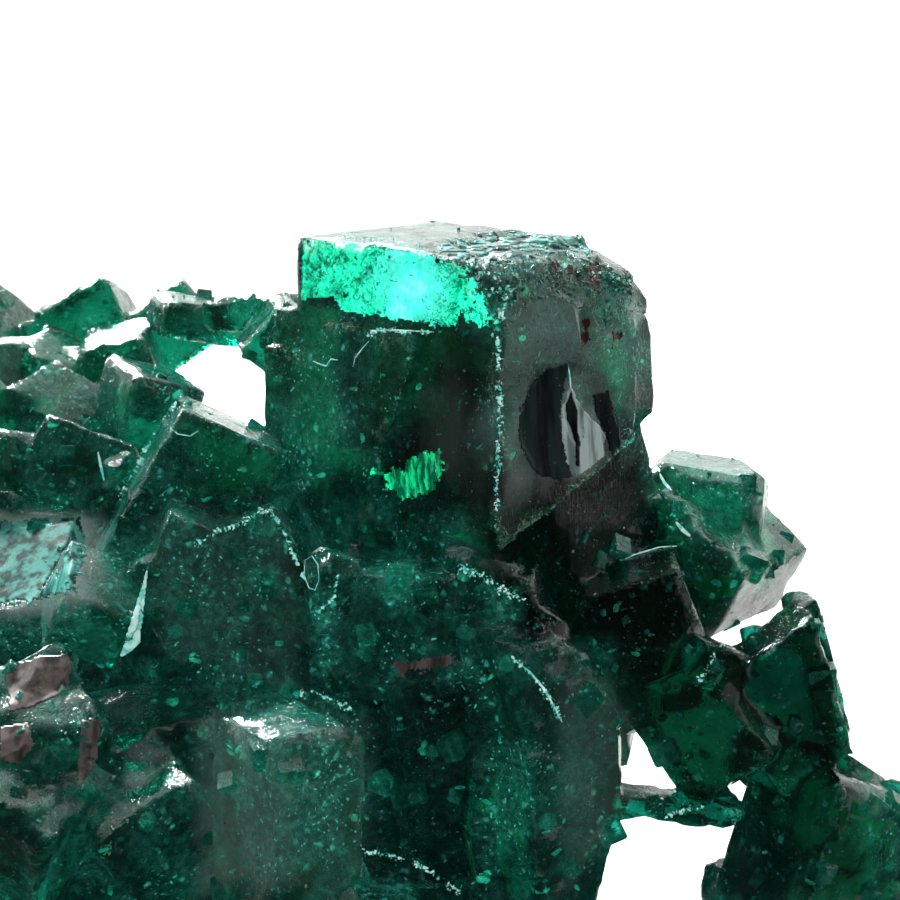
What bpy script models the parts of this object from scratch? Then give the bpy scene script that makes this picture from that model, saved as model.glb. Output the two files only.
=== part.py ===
"""Dioptase: a cluster of emerald-green crystals grown together, cut flat underneath so that it rests.

Each crystal is a rhombohedron with nearly square corners, and the faces of a hexagonal prism cut
back six of its edges. One tall block stands over the rest. It sits on a wall of smaller crystals,
a ridge runs back to the left of it, and an arm reaches down to the right, with gaps under it.
Lengths are millimetres here, +Z is up, and the near side is -Y.
"""

import itertools
import math
import random
from typing import NamedTuple

import bmesh
import bpy
from mathutils import Euler, Matrix, Vector
from mathutils.bvhtree import BVHTree

MM = 0.001
NODE = "dioptase_cluster"
SEED = 11

# The middle of the footprint, where the origin of the finished part lies.
FOOTPRINT_MIDDLE = Vector((-1.8, 0.15, 0.0))
# The crystals placed by hand face a viewer here, who sees this much to each side of straight on.
FRONT_VIEW = Vector((0.0, -47.0, 25.3))
FRONT_VIEW_AIM = Vector((0.0, 0.0, 15.3))
FRONT_VIEW_SPREAD = 0.21

# The ridge: how far its crystals stray from their rows, how large they are and how far they lean.
RIDGE_STRAY = 0.4
RIDGE_SIZES = (1.8, 2.5)
RIDGE_LEAN = 40

# The crust that covers the rest: how many places are tried, the box that the places lie around,
# and how steeply they are looked for.
CRUST_TRIES = 750
CRUST_BOX = ((-11, 9), (-4, 6), (1, 12))
CRUST_RISE = (-0.35, 0.85)
CRUST_LOWEST = 0.5
# How large its crystals are, how much they are shrunk, and their width and length against that.
CRUST_SIZES = (1.9, 3.6)
CRUST_SHRINK = (0.6, 1.0)
CRUST_WIDTH = (0.85, 1.15)
CRUST_LENGTH = (0.85, 1.4)
CRUST_LEAN = 45
# How deep each is sunk, how far it must be from the next, and how far around it is kept out of sight
# in front, all as shares of its size.
CRUST_SUNK = 0.2
CRUST_SPACING = 0.9
CRUST_REACH = 0.8
# The girdles that occur.
GIRDLES = (0.82, 0.96)
# Farther out than any crystal.
OUTSIDE = 40

# The block that is taken off underneath, and the angle within which faces count as one, in degrees.
GROUND_SIZE = 60
ONE_FACE = 0.3

# A cube squashed by this much along a body diagonal has the 95.5 degree corners of dioptase.
DIAGONAL_SQUASH = 0.872
# How far out the prism faces lie, as a share of the distance to the edges that they cut back.
GIRDLE = 0.9
# Each of these names a corner or an edge of a block, as the signs of its own x, y and z.
MIDDLE = (0, 0, 0)
NEAR_TOP = (-1, -1, 1)
RIGHT_TOP = (1, -1, 1)
LEFT_TOP = (-1, 1, 1)
FAR_TOP = (1, 1, 1)
TOP = (0, 0, 1)


class Crystal(NamedTuple):
    """One crystal: the place of one of its corners, its size across the faces, and its turn.

    The turn is in degrees about X, then Y, then Z. The three-fold axis runs through the placed
    corner, or through the far top one where the middle is placed. Each cut is a point and the
    direction in which everything beyond it is broken off.
    """

    name: str
    place: tuple
    size: tuple
    turn: tuple
    corner: tuple = MIDDLE
    girdle: float = GIRDLE
    cuts: tuple = ()


BLOCK_TURN = (-2, 2, 47)

TALL_BLOCK = (
    Crystal("tall_block", (1.0, -2.9, 19.9), (4.85, 6.4, 9.0), BLOCK_TURN, NEAR_TOP, 0.94,
            cuts=(((2.6, -0.9, 19.65), (0.36, -0.1, 0.93)), ((0.95, -2.9, 14.0), (0.25, 0.26, -0.93)))),
    Crystal("upper_ledge", (-0.74, -1.9, 18.2), (2.0, 3.0, 6.5), BLOCK_TURN, NEAR_TOP, 0.95,
            cuts=(((-1.15, -1.75, 16.5), (0.9, -0.3, -0.35)),)),
    Crystal("lower_ledge", (-1.95, -1.0, 17.5), (2.0, 3.2, 6.0), BLOCK_TURN, NEAR_TOP, 0.95),
    Crystal("left_shoulder", (-3.98, 1.3, 18.3), (3.0, 3.2, 6.5), (3, 0, 52), LEFT_TOP, 0.92),
    Crystal("left_spike", (-3.75, 2.3, 18.3), (1.6, 1.5, 1.7), (0, 42, 10), NEAR_TOP, 0.95),
    Crystal("right_growth", (4.4, 0.7, 19.2), (2.4, 2.6, 3.6), (-3, 3, 45), RIGHT_TOP, 0.9,
            cuts=(((4.3, 0.7, 18.75), (0.78, 0.0, 0.62)),)),
    Crystal("upper_growth", (2.1, 1.9, 19.95), (1.8, 1.8, 2.6), (-3, 5, 40), TOP, 0.85),
    Crystal("foot", (4.0, 0.3, 16.6), (4.0, 4.4, 6.6), (0, -20, 45), RIGHT_TOP, 0.9),
)

FRONT_WALL = (
    Crystal("leaning_gable", (-5.73, -1.5, 16.55), (2.7, 3.6, 4.2), (-9, 28, 3), NEAR_TOP, 0.95),
    Crystal("streaked_plate", (-8.4, 0.0, 13.7), (4.6, 3.1, 3.0), (31, -10, -8), FAR_TOP, 0.93),
    Crystal("streaked_wedge", (-6.6, -2.2, 13.25), (1.8, 1.9, 1.9), (30, 22, 16), FAR_TOP, 0.95),
    Crystal("small_gable", (-5.6, -2.6, 13.8), (1.3, 1.4, 1.4), (0, 24, 6), MIDDLE, 0.9),
    Crystal("broad_front", (-3.66, -3.0, 14.72), (3.8, 3.8, 6.4), (-4, -24, -4), RIGHT_TOP, 0.93),
    Crystal("wall_splinter", (-2.55, -3.4, 12.9), (0.9, 1.2, 2.0), (0, 14, 20), MIDDLE, 0.85),
    Crystal("middle_front", (-2.33, -3.5, 13.4), (2.7, 3.0, 2.9), (-2, 4, -3), NEAR_TOP, 0.93),
    Crystal("middle_ledge", (-1.3, -4.3, 11.05), (2.6, 2.8, 3.8), (8, -12, 10), NEAR_TOP, 0.93),
    Crystal("middle_small_left", (0.5, -3.0, 12.9), (1.4, 1.6, 1.8), (0, 14, 20), MIDDLE, 0.85),
    Crystal("middle_small_right", (1.4, -3.0, 12.6), (1.3, 1.8, 1.5), (0, -14, -12), MIDDLE, 0.85),
    Crystal("lower_front", (1.42, -5.0, 12.2), (2.9, 3.0, 8.4), (0, -6, 38), NEAR_TOP, 0.88,
            cuts=(((3.65, -4.0, 8.3), (0.97, 0.1, -0.22)), ((2.3, -4.6, 12.25), (0.5, 0.1, 0.86)),
                  ((3.15, -3.5, 11.1), (0.84, 0.1, 0.53)))),
    Crystal("lower_front_left", (0.3, -4.2, 12.4), (2.4, 2.8, 7.0), (2, -4, 10), NEAR_TOP, 0.92),
    Crystal("wall_lower_left", (-6.3, -3.2, 9.1), (3.0, 3.0, 3.0), (6, -10, 12), MIDDLE, 0.92),
)

RIGHT_ARM = (
    Crystal("arm_root", (4.95, -2.2, 13.15), (2.5, 3.6, 3.4), (-4, -18, 2), RIGHT_TOP, 0.93),
    Crystal("far_arm_upper", (6.05, 2.6, 13.35), (2.9, 2.6, 2.3), (0, 4, -15), MIDDLE, 0.85,
            cuts=(((6.8, 2.6, 14.5), (0.64, 0.0, 0.77)),)),
    Crystal("far_arm_lower", (8.45, 2.0, 12.5), (3.2, 3.6, 2.2), (0, 32, -40), FAR_TOP, 0.9),
    Crystal("arm_bend", (5.6, -3.0, 10.7), (3.8, 2.0, 3.1), (-8, -35, 6), NEAR_TOP, 0.94,
            cuts=(((8.4, -1.5, 9.6), (0.96, 0.1, 0.27)),)),
    Crystal("arm_strip", (8.15, -0.9, 10.6), (0.6, 1.4, 3.5), (0, -14, 6), MIDDLE, 0.92),
    Crystal("arm_knuckle", (5.6, -2.8, 11.2), (1.0, 1.6, 1.1), (0, 20, 25), MIDDLE, 0.88),
    Crystal("arm_under", (5.7, -2.3, 9.7), (2.5, 2.6, 2.8), (-6, -35, -20), MIDDLE, 0.9),
    Crystal("bar", (4.6, -3.1, 8.15), (3.6, 1.2, 0.6), (0, 3, 4), MIDDLE, 0.9),
    Crystal("leg_upper", (8.3, -2.5, 6.9), (3.4, 3.2, 3.6), (0, 20, 30), MIDDLE, 0.9),
    Crystal("leg_glassy_flake", (8.9, -2.0, 8.5), (1.2, 1.0, 0.5), (0, 35, 20), MIDDLE, 0.9),
    Crystal("leg_middle", (8.1, -2.2, 4.2), (3.8, 3.8, 4.4), (6, -12, 15), MIDDLE, 0.9),
    Crystal("leg_foot", (8.3, -2.0, 1.4), (4.6, 4.8, 4.0), (4, 8, 40), MIDDLE, 0.92),
)

FOREGROUND = (
    Crystal("pale_block", (-3.3, -9.0, 11.7), (2.4, 2.4, 8.6), (0, 0, 38), NEAR_TOP, 0.88),
    Crystal("left_low_upper", (-8.6, -4.6, 10.2), (3.0, 2.8, 2.6), (30, -20, 18), MIDDLE, 0.92),
    Crystal("left_low_middle", (-8.6, -5.8, 9.0), (2.8, 2.6, 3.0), (24, 26, -20), MIDDLE, 0.92),
    Crystal("left_low_inner", (-6.0, -5.6, 8.6), (2.6, 2.8, 3.0), (12, -30, 24), MIDDLE, 0.9),
)

BACK_RIDGE = (
    Crystal("bridge_outer", (-6.2, 6.0, 17.35), (2.4, 1.8, 1.0), (6, 8, 20), MIDDLE, 0.88),
    Crystal("bridge_inner", (-4.6, 4.6, 17.7), (2.2, 2.2, 0.9), (-4, -8, -25), MIDDLE, 0.88),
    Crystal("window_side", (-7.3, 3.6, 15.3), (2.0, 2.2, 2.5), (10, 16, 30), MIDDLE, 0.9),
)

CORE = (
    Crystal("core_low", (-4.4, 1.0, 2.4), (13.5, 12.5, 8.6), (0, 0, 4), MIDDLE, 0.9),
    Crystal("core_middle", (-4.6, 2.2, 8.0), (12.0, 7.4, 7.6), (0, 2, -3), MIDDLE, 0.9),
    Crystal("core_left", (-8.6, 4.0, 10.7), (7.0, 7.0, 7.0), (8, -4, 12), MIDDLE, 0.9),
    Crystal("core_top", (0.6, 1.4, 11.0), (6.4, 5.6, 6.5), (0, 4, 30), MIDDLE, 0.9),
    Crystal("core_front", (-2.2, -1.6, 7.6), (7.0, 3.4, 6.0), (0, 0, -4), MIDDLE, 0.9),
    Crystal("core_front_low", (-3.0, -5.4, 3.2), (6.4, 5.2, 8.0), (0, 3, 10), MIDDLE, 0.88),
    Crystal("core_right_base", (4.2, -1.0, 0.0), (12.0, 7.6, 2.6), (0, 0, -4), MIDDLE, 0.95),
)


def apex_of(crystal):
    """The corner that the three-fold axis runs through."""
    return FAR_TOP if 0 in crystal.corner else crystal.corner


def turn_of(crystal):
    """The turn of a crystal, after the squash along its three-fold axis that squares its corners."""
    squash = Matrix.Scale(DIAGONAL_SQUASH, 3, Vector(apex_of(crystal)).normalized())
    turn = Euler([math.radians(angle) for angle in crystal.turn]).to_matrix()
    return turn @ squash


def cut_flat(mesh, point, normal):
    """Breaks off what lies beyond a plane, and closes the break."""
    geometry = mesh.verts[:] + mesh.edges[:] + mesh.faces[:]
    cut = bmesh.ops.bisect_plane(mesh, geom=geometry, plane_co=point, plane_no=normal, clear_outer=True)
    rim = [item for item in cut["geom_cut"] if isinstance(item, bmesh.types.BMEdge)]
    if rim:
        bmesh.ops.contextual_create(mesh, geom=rim)


def prism_normals(apex):
    """The six directions across the three-fold axis, each towards a side edge of the block."""
    for first, second in ((0, 1), (1, 2), (2, 0)):
        normal = Vector((0, 0, 0))
        normal[first] = apex[first]
        normal[second] = -apex[second]
        yield normal
        yield -normal


def crystal_mesh(crystal):
    """The closed mesh of one crystal, in place."""
    mesh = bmesh.new()
    bmesh.ops.create_cube(mesh, size=1.0)
    half = Vector(crystal.size) / 2
    bmesh.ops.scale(mesh, vec=Vector(crystal.size), verts=mesh.verts)
    for normal in prism_normals(apex_of(crystal)):
        reach = sum(abs(normal[k]) * half[k] for k in range(3))
        unit = normal.normalized()
        cut_flat(mesh, unit * (reach / normal.length * crystal.girdle), unit)
    frame = turn_of(crystal)
    anchor = frame @ Vector([crystal.corner[k] * half[k] for k in range(3)])
    bmesh.ops.transform(mesh, matrix=frame.to_4x4(), verts=mesh.verts)
    bmesh.ops.translate(mesh, vec=Vector(crystal.place) - anchor, verts=mesh.verts)
    for point, normal in crystal.cuts:
        cut_flat(mesh, Vector(point), Vector(normal))
    bmesh.ops.triangulate(mesh, faces=mesh.faces)
    bmesh.ops.recalc_face_normals(mesh, faces=mesh.faces)
    return mesh


def add_crystal(crystal, collection):
    """One crystal as an object of its own, ready to be joined to the rest."""
    mesh = crystal_mesh(crystal)
    bmesh.ops.translate(mesh, vec=-FOOTPRINT_MIDDLE, verts=mesh.verts)
    bmesh.ops.scale(mesh, vec=(MM, MM, MM), verts=mesh.verts)
    data = bpy.data.meshes.new(crystal.name)
    mesh.to_mesh(data)
    mesh.free()
    obj = bpy.data.objects.new(crystal.name, data)
    obj.hide_render = True
    obj.display_type = "WIRE"
    collection.objects.link(obj)
    return obj


def lean_from(rng, most):
    """A random turn, which leans by at most this many degrees."""
    return (rng.randint(-most, most), rng.randint(-most, most), rng.randint(0, 90))


def stray_from(rng):
    """A small random step away from a row of the ridge."""
    return Vector([rng.uniform(-RIDGE_STRAY, RIDGE_STRAY) for _ in range(3)])


def ridge_crystals(rng):
    """The lumpy ridge that runs back to the left, and the slope of crystals in front of it."""
    rows = (
        # near-far place, height, first and last place to the left, spacing
        (8.0, 16.45, -13.6, -7.4, 1.5),
        (6.2, 16.0, -13.2, -7.6, 1.7),
        (4.2, 15.1, -12.8, -7.8, 1.8),
        (2.2, 14.1, -12.4, -7.6, 1.8),
        (1.0, 12.6, -12.2, -8.6, 1.8),
    )
    for row, (depth, height, first, last, spacing) in enumerate(rows):
        count = int((last - first) / spacing) + 1
        for index in range(count):
            along = first + index * spacing
            place = Vector((along, depth, height)) + stray_from(rng)
            size = [rng.uniform(*RIDGE_SIZES) for _ in range(3)]
            turn = lean_from(rng, RIDGE_LEAN)
            yield Crystal(f"ridge_{row}_{index}", place, size, turn, MIDDLE, rng.uniform(*GIRDLES))


def surface_of(crystals):
    """A tree for finding where a straight line meets these crystals."""
    whole = bmesh.new()
    for crystal in crystals:
        mesh = crystal_mesh(crystal)
        corners = {vert: whole.verts.new(vert.co) for vert in mesh.verts}
        for face in mesh.faces:
            whole.faces.new([corners[vert] for vert in face.verts])
        mesh.free()
    tree = BVHTree.FromBMesh(whole)
    whole.free()
    return tree


def shows_in_front(surface, point):
    """Whether the viewer in front would see this point past the crystals placed so far."""
    line = point - FRONT_VIEW
    ahead = (FRONT_VIEW_AIM - FRONT_VIEW).normalized()
    side = ahead.cross(Vector((0, 0, 1))).normalized()
    rise = side.cross(ahead)
    depth = line.dot(ahead)
    if max(abs(line.dot(side)), abs(line.dot(rise))) > FRONT_VIEW_SPREAD * depth:
        return False
    hit = surface.ray_cast(FRONT_VIEW, line.normalized(), line.length)
    return hit[0] is None


def crust_crystals(rng, placed):
    """Crystals that cover the back, the sides and the lower front, clear of the gaps under the arm."""
    surface = surface_of(placed)
    crust = []
    for index in range(CRUST_TRIES):
        middle = Vector([rng.uniform(*limits) for limits in CRUST_BOX])
        around = rng.uniform(0, math.tau)
        outward = Vector((math.cos(around), math.sin(around), rng.uniform(*CRUST_RISE))).normalized()
        place, normal, _, _ = surface.ray_cast(middle + outward * OUTSIDE, -outward)
        if place is None or place.z < CRUST_LOWEST:
            continue
        size = rng.uniform(*CRUST_SIZES) * rng.uniform(*CRUST_SHRINK)
        place = place - normal * size * CRUST_SUNK
        if any((place - other.place).length < CRUST_SPACING * (size + other.size[0]) / 2 for other in crust):
            continue
        reach = size * CRUST_REACH
        around_it = [place + Vector(way) * reach for way in itertools.product((-1, 0, 1), repeat=3)]
        if any(shows_in_front(surface, point) for point in around_it):
            continue
        turn = lean_from(rng, CRUST_LEAN)
        sizes = (size, size * rng.uniform(*CRUST_WIDTH), size * rng.uniform(*CRUST_LENGTH))
        crust.append(Crystal(f"crust_{index}", place, sizes, turn, MIDDLE, rng.uniform(*GIRDLES)))
    return tuple(crust)


def make_material():
    """Deep emerald green, glassy."""
    material = bpy.data.materials.new("emerald_green_crystal")
    material.use_nodes = True
    shader = material.node_tree.nodes["Principled BSDF"]
    shader.inputs["Base Color"].default_value = (0.004, 0.16, 0.105, 1.0)
    shader.inputs["Roughness"].default_value = 0.12
    shader.inputs["Metallic"].default_value = 0.0
    shader.inputs["IOR"].default_value = 1.66
    return material


def add_collection(name):
    collection = bpy.data.collections.new(name)
    bpy.context.scene.collection.children.link(collection)
    return collection


def connected_verts(start):
    """All vertices that edges link to this one."""
    found = {start}
    waiting = [start]
    while waiting:
        vert = waiting.pop()
        for edge in vert.link_edges:
            other = edge.other_vert(vert)
            if other not in found:
                found.add(other)
                waiting.append(other)
    return found


def fill_hollows(data):
    """Keeps the outer skin of a mesh, so that hollows closed all round are filled."""
    mesh = bmesh.new()
    mesh.from_mesh(data)
    shells = []
    left = set(mesh.verts)
    while left:
        shell = connected_verts(left.pop())
        left -= shell
        shells.append(shell)
    outer = max(shells, key=len)
    inner = [vert for shell in shells if shell is not outer for vert in shell]
    bmesh.ops.delete(mesh, geom=inner, context="VERTS")
    mesh.to_mesh(data)
    mesh.free()


def join_crystals(pieces, others, target):
    """The node: the first piece, with the rest joined to it and no hollow left inside."""
    data = pieces[0].data.copy()
    data.name = NODE
    node = bpy.data.objects.new(NODE, data)
    target.objects.link(node)
    join = node.modifiers.new("grown_together", "BOOLEAN")
    join.operation = "UNION"
    join.operand_type = "COLLECTION"
    join.collection = others
    joined = bpy.data.meshes.new_from_object(node.evaluated_get(bpy.context.evaluated_depsgraph_get()))
    joined.name = NODE
    node.modifiers.clear()
    node.data = joined
    fill_hollows(joined)
    return node


def cut_off_base(node, guides):
    """Cuts the cluster off flat, so that it rests."""
    mesh = bmesh.new()
    bmesh.ops.create_cube(mesh, size=GROUND_SIZE * MM)
    bmesh.ops.translate(mesh, vec=(0, 0, -GROUND_SIZE * MM / 2), verts=mesh.verts)
    data = bpy.data.meshes.new("ground")
    mesh.to_mesh(data)
    mesh.free()
    ground = bpy.data.objects.new("ground", data)
    ground.hide_render = True
    ground.display_type = "WIRE"
    guides.objects.link(ground)
    cut = node.modifiers.new("flat_base", "BOOLEAN")
    cut.operation = "DIFFERENCE"
    cut.object = ground
    merge = node.modifiers.new("merge_flat_faces", "DECIMATE")
    merge.decimate_type = "DISSOLVE"
    merge.angle_limit = math.radians(ONE_FACE)


def main():
    for obj in list(bpy.data.objects):
        bpy.data.objects.remove(obj)
    rng = random.Random(SEED)
    crystals = TALL_BLOCK + FRONT_WALL + RIGHT_ARM + FOREGROUND + BACK_RIDGE + CORE
    crystals += tuple(ridge_crystals(rng))
    crystals += crust_crystals(rng, crystals)
    target = add_collection("dioptase")
    first = add_collection("first_crystal")
    others = add_collection("single_crystals")
    others.hide_render = True
    first.hide_render = True
    pieces = [add_crystal(crystals[0], first)]
    pieces += [add_crystal(crystal, others) for crystal in crystals[1:]]
    node = join_crystals(pieces, others, target)
    cut_off_base(node, first)
    node.data.materials.append(make_material())


if __name__ == "__main__":
    main()
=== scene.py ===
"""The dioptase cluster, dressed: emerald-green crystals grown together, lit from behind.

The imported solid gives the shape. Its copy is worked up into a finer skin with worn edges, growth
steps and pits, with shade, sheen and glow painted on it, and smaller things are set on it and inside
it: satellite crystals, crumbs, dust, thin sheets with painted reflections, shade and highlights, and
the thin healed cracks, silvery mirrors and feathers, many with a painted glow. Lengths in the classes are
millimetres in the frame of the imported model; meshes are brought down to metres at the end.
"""

import itertools
import logging
import math
from dataclasses import dataclass, field
from enum import Enum
from typing import Mapping, Optional, Sequence, Union

import bmesh
import bpy
import numpy as np
from mathutils import Matrix, Vector
from mathutils.bvhtree import BVHTree


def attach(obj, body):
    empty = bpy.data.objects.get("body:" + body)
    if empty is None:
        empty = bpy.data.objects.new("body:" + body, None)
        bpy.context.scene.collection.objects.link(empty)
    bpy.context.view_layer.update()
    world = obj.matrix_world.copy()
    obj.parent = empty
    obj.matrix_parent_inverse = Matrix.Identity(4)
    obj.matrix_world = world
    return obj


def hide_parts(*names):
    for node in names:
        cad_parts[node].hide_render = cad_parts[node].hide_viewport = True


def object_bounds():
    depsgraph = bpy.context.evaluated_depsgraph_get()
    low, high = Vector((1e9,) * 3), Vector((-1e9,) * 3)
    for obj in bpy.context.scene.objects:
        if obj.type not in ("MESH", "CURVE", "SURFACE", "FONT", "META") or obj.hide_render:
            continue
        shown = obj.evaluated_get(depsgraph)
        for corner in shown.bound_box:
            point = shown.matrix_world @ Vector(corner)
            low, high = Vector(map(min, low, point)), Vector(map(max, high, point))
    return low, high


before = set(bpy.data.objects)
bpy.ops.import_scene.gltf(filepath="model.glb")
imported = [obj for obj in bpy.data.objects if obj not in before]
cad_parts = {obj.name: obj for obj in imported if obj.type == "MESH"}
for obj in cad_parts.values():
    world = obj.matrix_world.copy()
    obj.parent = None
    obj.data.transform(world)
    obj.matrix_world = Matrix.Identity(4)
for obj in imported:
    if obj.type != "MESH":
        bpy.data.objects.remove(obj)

MM = 0.001
NODE = "dioptase_cluster"
BODY = "root"
LOG = logging.getLogger("dioptase")
BOX = np.array(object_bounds()) / MM

Triple = tuple[float, float, float]
Corner = tuple[int, int]
Outline = tuple[tuple[float, float], ...]
Number = Union["Signal", float]
Colour = Union["Signal", Triple]


class Painted(Enum):
    """What is painted on the skin, as one value for each of its points: wear, stains, painted shade, a
    painted sheen kept as pale, painted glow and streaked bumps.
    """

    WORN = "worn"
    STAINED = "stained"
    # painted shade, darkening the faces where shade falls
    PAINTED_SHADE = "painted_shade"
    # painted sheen, a veil of painted reflection on the faces
    PAINTED_SHEEN = "pale"
    GLOWING = "glowing"
    STREAKED = "streaked"


@dataclass(frozen=True)
class View:
    """The view from the front. Places in it are counted across and down, over a square of 900.

    Attributes:
        eye: Where it is seen from.
        pitch: How far it looks down, in degrees.
        middle: The place straight ahead.
        reach: How far away one millimetre covers one step.
    """

    eye: Triple = (1.8, -47.101, 25.280)
    pitch: float = 12.0
    middle: float = 450.0
    reach: float = 2160.0

    @property
    def ahead(self) -> Vector:
        """The direction straight ahead."""
        return Vector((0, math.cos(math.radians(self.pitch)), -math.sin(math.radians(self.pitch))))

    @property
    def rise(self) -> Vector:
        """The direction that is up in the view."""
        return Vector((0, math.sin(math.radians(self.pitch)), math.cos(math.radians(self.pitch))))

    def line(self, across: float, down: float) -> Vector:
        """The direction towards a place in the view."""
        side = (across - self.middle) / self.reach
        up = (self.middle - down) / self.reach
        return (self.ahead + self.rise * up + Vector((side, 0, 0))).normalized()

    def places(self, points: np.ndarray) -> np.ndarray:
        """Where points are seen, as rows of across and down."""
        away = points - np.array(self.eye)
        depth = away @ np.array(self.ahead)
        across = self.middle + self.reach * away[:, 0] / depth
        down = self.middle - self.reach * (away @ np.array(self.rise)) / depth
        return np.stack([across, down], 1)


FRONT = View()


def inside_by(places: np.ndarray, outline: Outline) -> np.ndarray:
    """How far places lie inside an outline.

    Args:
        places: Rows of across and down.
        outline: The corners in order.

    Returns:
        The distance to the outline, above 0 inside and below 0 outside.
    """
    corners = np.array(outline, float)
    nearest = np.full(len(places), np.inf)
    within = np.zeros(len(places), bool)
    for start, end in zip(corners, np.roll(corners, -1, 0)):
        side = end - start
        away = places - start
        share = np.clip(away @ side / (side @ side), 0, 1)
        nearest = np.minimum(nearest, np.linalg.norm(away - share[:, None] * side, axis=1))
        if start[1] != end[1]:
            crossing = start[0] + (places[:, 1] - start[1]) * side[0] / side[1]
            within ^= ((start[1] > places[:, 1]) != (end[1] > places[:, 1])) & (places[:, 0] < crossing)
    return np.where(within, nearest, -nearest)


def on_tall_block(place: Vector) -> bool:
    """Whether a place lies on the clean faces of the tall block."""
    return place.z > 14.2 and -2.0 < place.x < 6.6 and place.y < 1.5


def eased(values: np.ndarray, low: float, high: float) -> np.ndarray:
    """A soft step.

    Args:
        values: What is stepped.
        low: Where the step starts.
        high: Where it ends.

    Returns:
        0 below low, 1 above high, and a smooth rise between them.
    """
    share = np.clip((values - low) / (high - low), 0.0, 1.0)
    return share * share * (3.0 - 2.0 * share)


# Shader maths


@dataclass(frozen=True)
class Signal:
    """The output of a shader node, on which sums are written as plain expressions."""

    bench: "NodeTree"
    socket: bpy.types.NodeSocket

    def _math(self, operation: str, *values: Number) -> "Signal":
        """A Math node on these values.

        Args:
            operation: The node's operation.
            values: Signals or plain numbers, in the node's order.

        Returns:
            The node's result.
        """
        node = self.bench.node("ShaderNodeMath", {"operation": operation}, dict(enumerate(values)))
        return Signal(self.bench, node.outputs[0])

    def __add__(self, other: Number) -> "Signal":
        """Sum."""
        return self._math("ADD", self, other)

    def __radd__(self, other: float) -> "Signal":
        """Sum, with the number first."""
        return self._math("ADD", other, self)

    def __sub__(self, other: Number) -> "Signal":
        """Difference."""
        return self._math("SUBTRACT", self, other)

    def __rsub__(self, other: float) -> "Signal":
        """Difference, with the number first."""
        return self._math("SUBTRACT", other, self)

    def __mul__(self, other: Number) -> "Signal":
        """Product."""
        return self._math("MULTIPLY", self, other)

    def __rmul__(self, other: float) -> "Signal":
        """Product, with the number first."""
        return self._math("MULTIPLY", other, self)

    def __truediv__(self, other: Number) -> "Signal":
        """Quotient."""
        return self._math("DIVIDE", self, other)

    def __rtruediv__(self, other: float) -> "Signal":
        """Quotient, with the number first."""
        return self._math("DIVIDE", other, self)

    def __pow__(self, other: Number) -> "Signal":
        """Power."""
        return self._math("POWER", self, other)

    def at_least(self, other: Number) -> "Signal":
        """The greater of the two."""
        return self._math("MAXIMUM", self, other)

    def at_most(self, other: Number) -> "Signal":
        """The lesser of the two."""
        return self._math("MINIMUM", self, other)

    def step(self, low: float, high: float) -> "Signal":
        """A soft step.

        Args:
            low: Where the step starts.
            high: Where it ends.

        Returns:
            0 at low and 1 at high, with a smooth change between them.
        """
        return self.bench.step(self, low, high)


class NodeTree:
    """A node tree, and the one way in which nodes are added to it."""

    def __init__(self, tree: bpy.types.NodeTree) -> None:
        """Empties a tree.

        Args:
            tree: The tree.
        """
        self.tree = tree
        self.tree.nodes.clear()

    def node(
        self,
        kind: str,
        settings: Optional[Mapping[str, object]] = None,
        inputs: Optional[Mapping[Union[str, int], object]] = None,
    ) -> bpy.types.Node:
        """Adds a node of any type.

        Args:
            kind: The node's type.
            settings: Its own settings, or "stops" for a ramp's places and colours. These come first.
            inputs: Values or links for its sockets, by name or number.

        Returns:
            The node.
        """
        node = self.tree.nodes.new(kind)
        for name, value in (settings or {}).items():
            if name == "stops":
                self._set_stops(node, value)
            else:
                setattr(node, name, value)
        for name, value in (inputs or {}).items():
            socket = node.inputs[name]
            if isinstance(value, Signal):
                self.tree.links.new(value.socket, socket)
            elif isinstance(value, tuple) and len(value) == 3 and socket.type == "RGBA":
                socket.default_value = (*value, 1.0)
            else:
                socket.default_value = value
        return node

    @staticmethod
    def _set_stops(node: bpy.types.Node, stops: Sequence[tuple[float, Triple]]) -> None:
        """Gives a ramp its colours.

        Args:
            node: The ramp.
            stops: The place and the colour of each stop, in order.
        """
        elements = node.color_ramp.elements
        while len(elements) < len(stops):
            elements.new(1.0)
        for element, (place, colour) in zip(elements, stops):
            element.position = place
            element.color = (*colour, 1.0)

    def signal(self, node: bpy.types.Node, output: Union[str, int] = 0) -> Signal:
        """One output of a node, ready for sums."""
        return Signal(self, node.outputs[output])

    def step(self, value: Signal, low: float, high: float, top: float = 1.0) -> Signal:
        """A soft step.

        Args:
            value: What is stepped.
            low: Where the step starts.
            high: Where it ends.
            top: What it rises to.

        Returns:
            0 at low and top at high, with a smooth change between them.
        """
        settings = {"interpolation_type": "SMOOTHSTEP"}
        inputs = {"Value": value, "From Min": low, "From Max": high, "To Max": top}
        return self.signal(self.node("ShaderNodeMapRange", settings, inputs))


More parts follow.
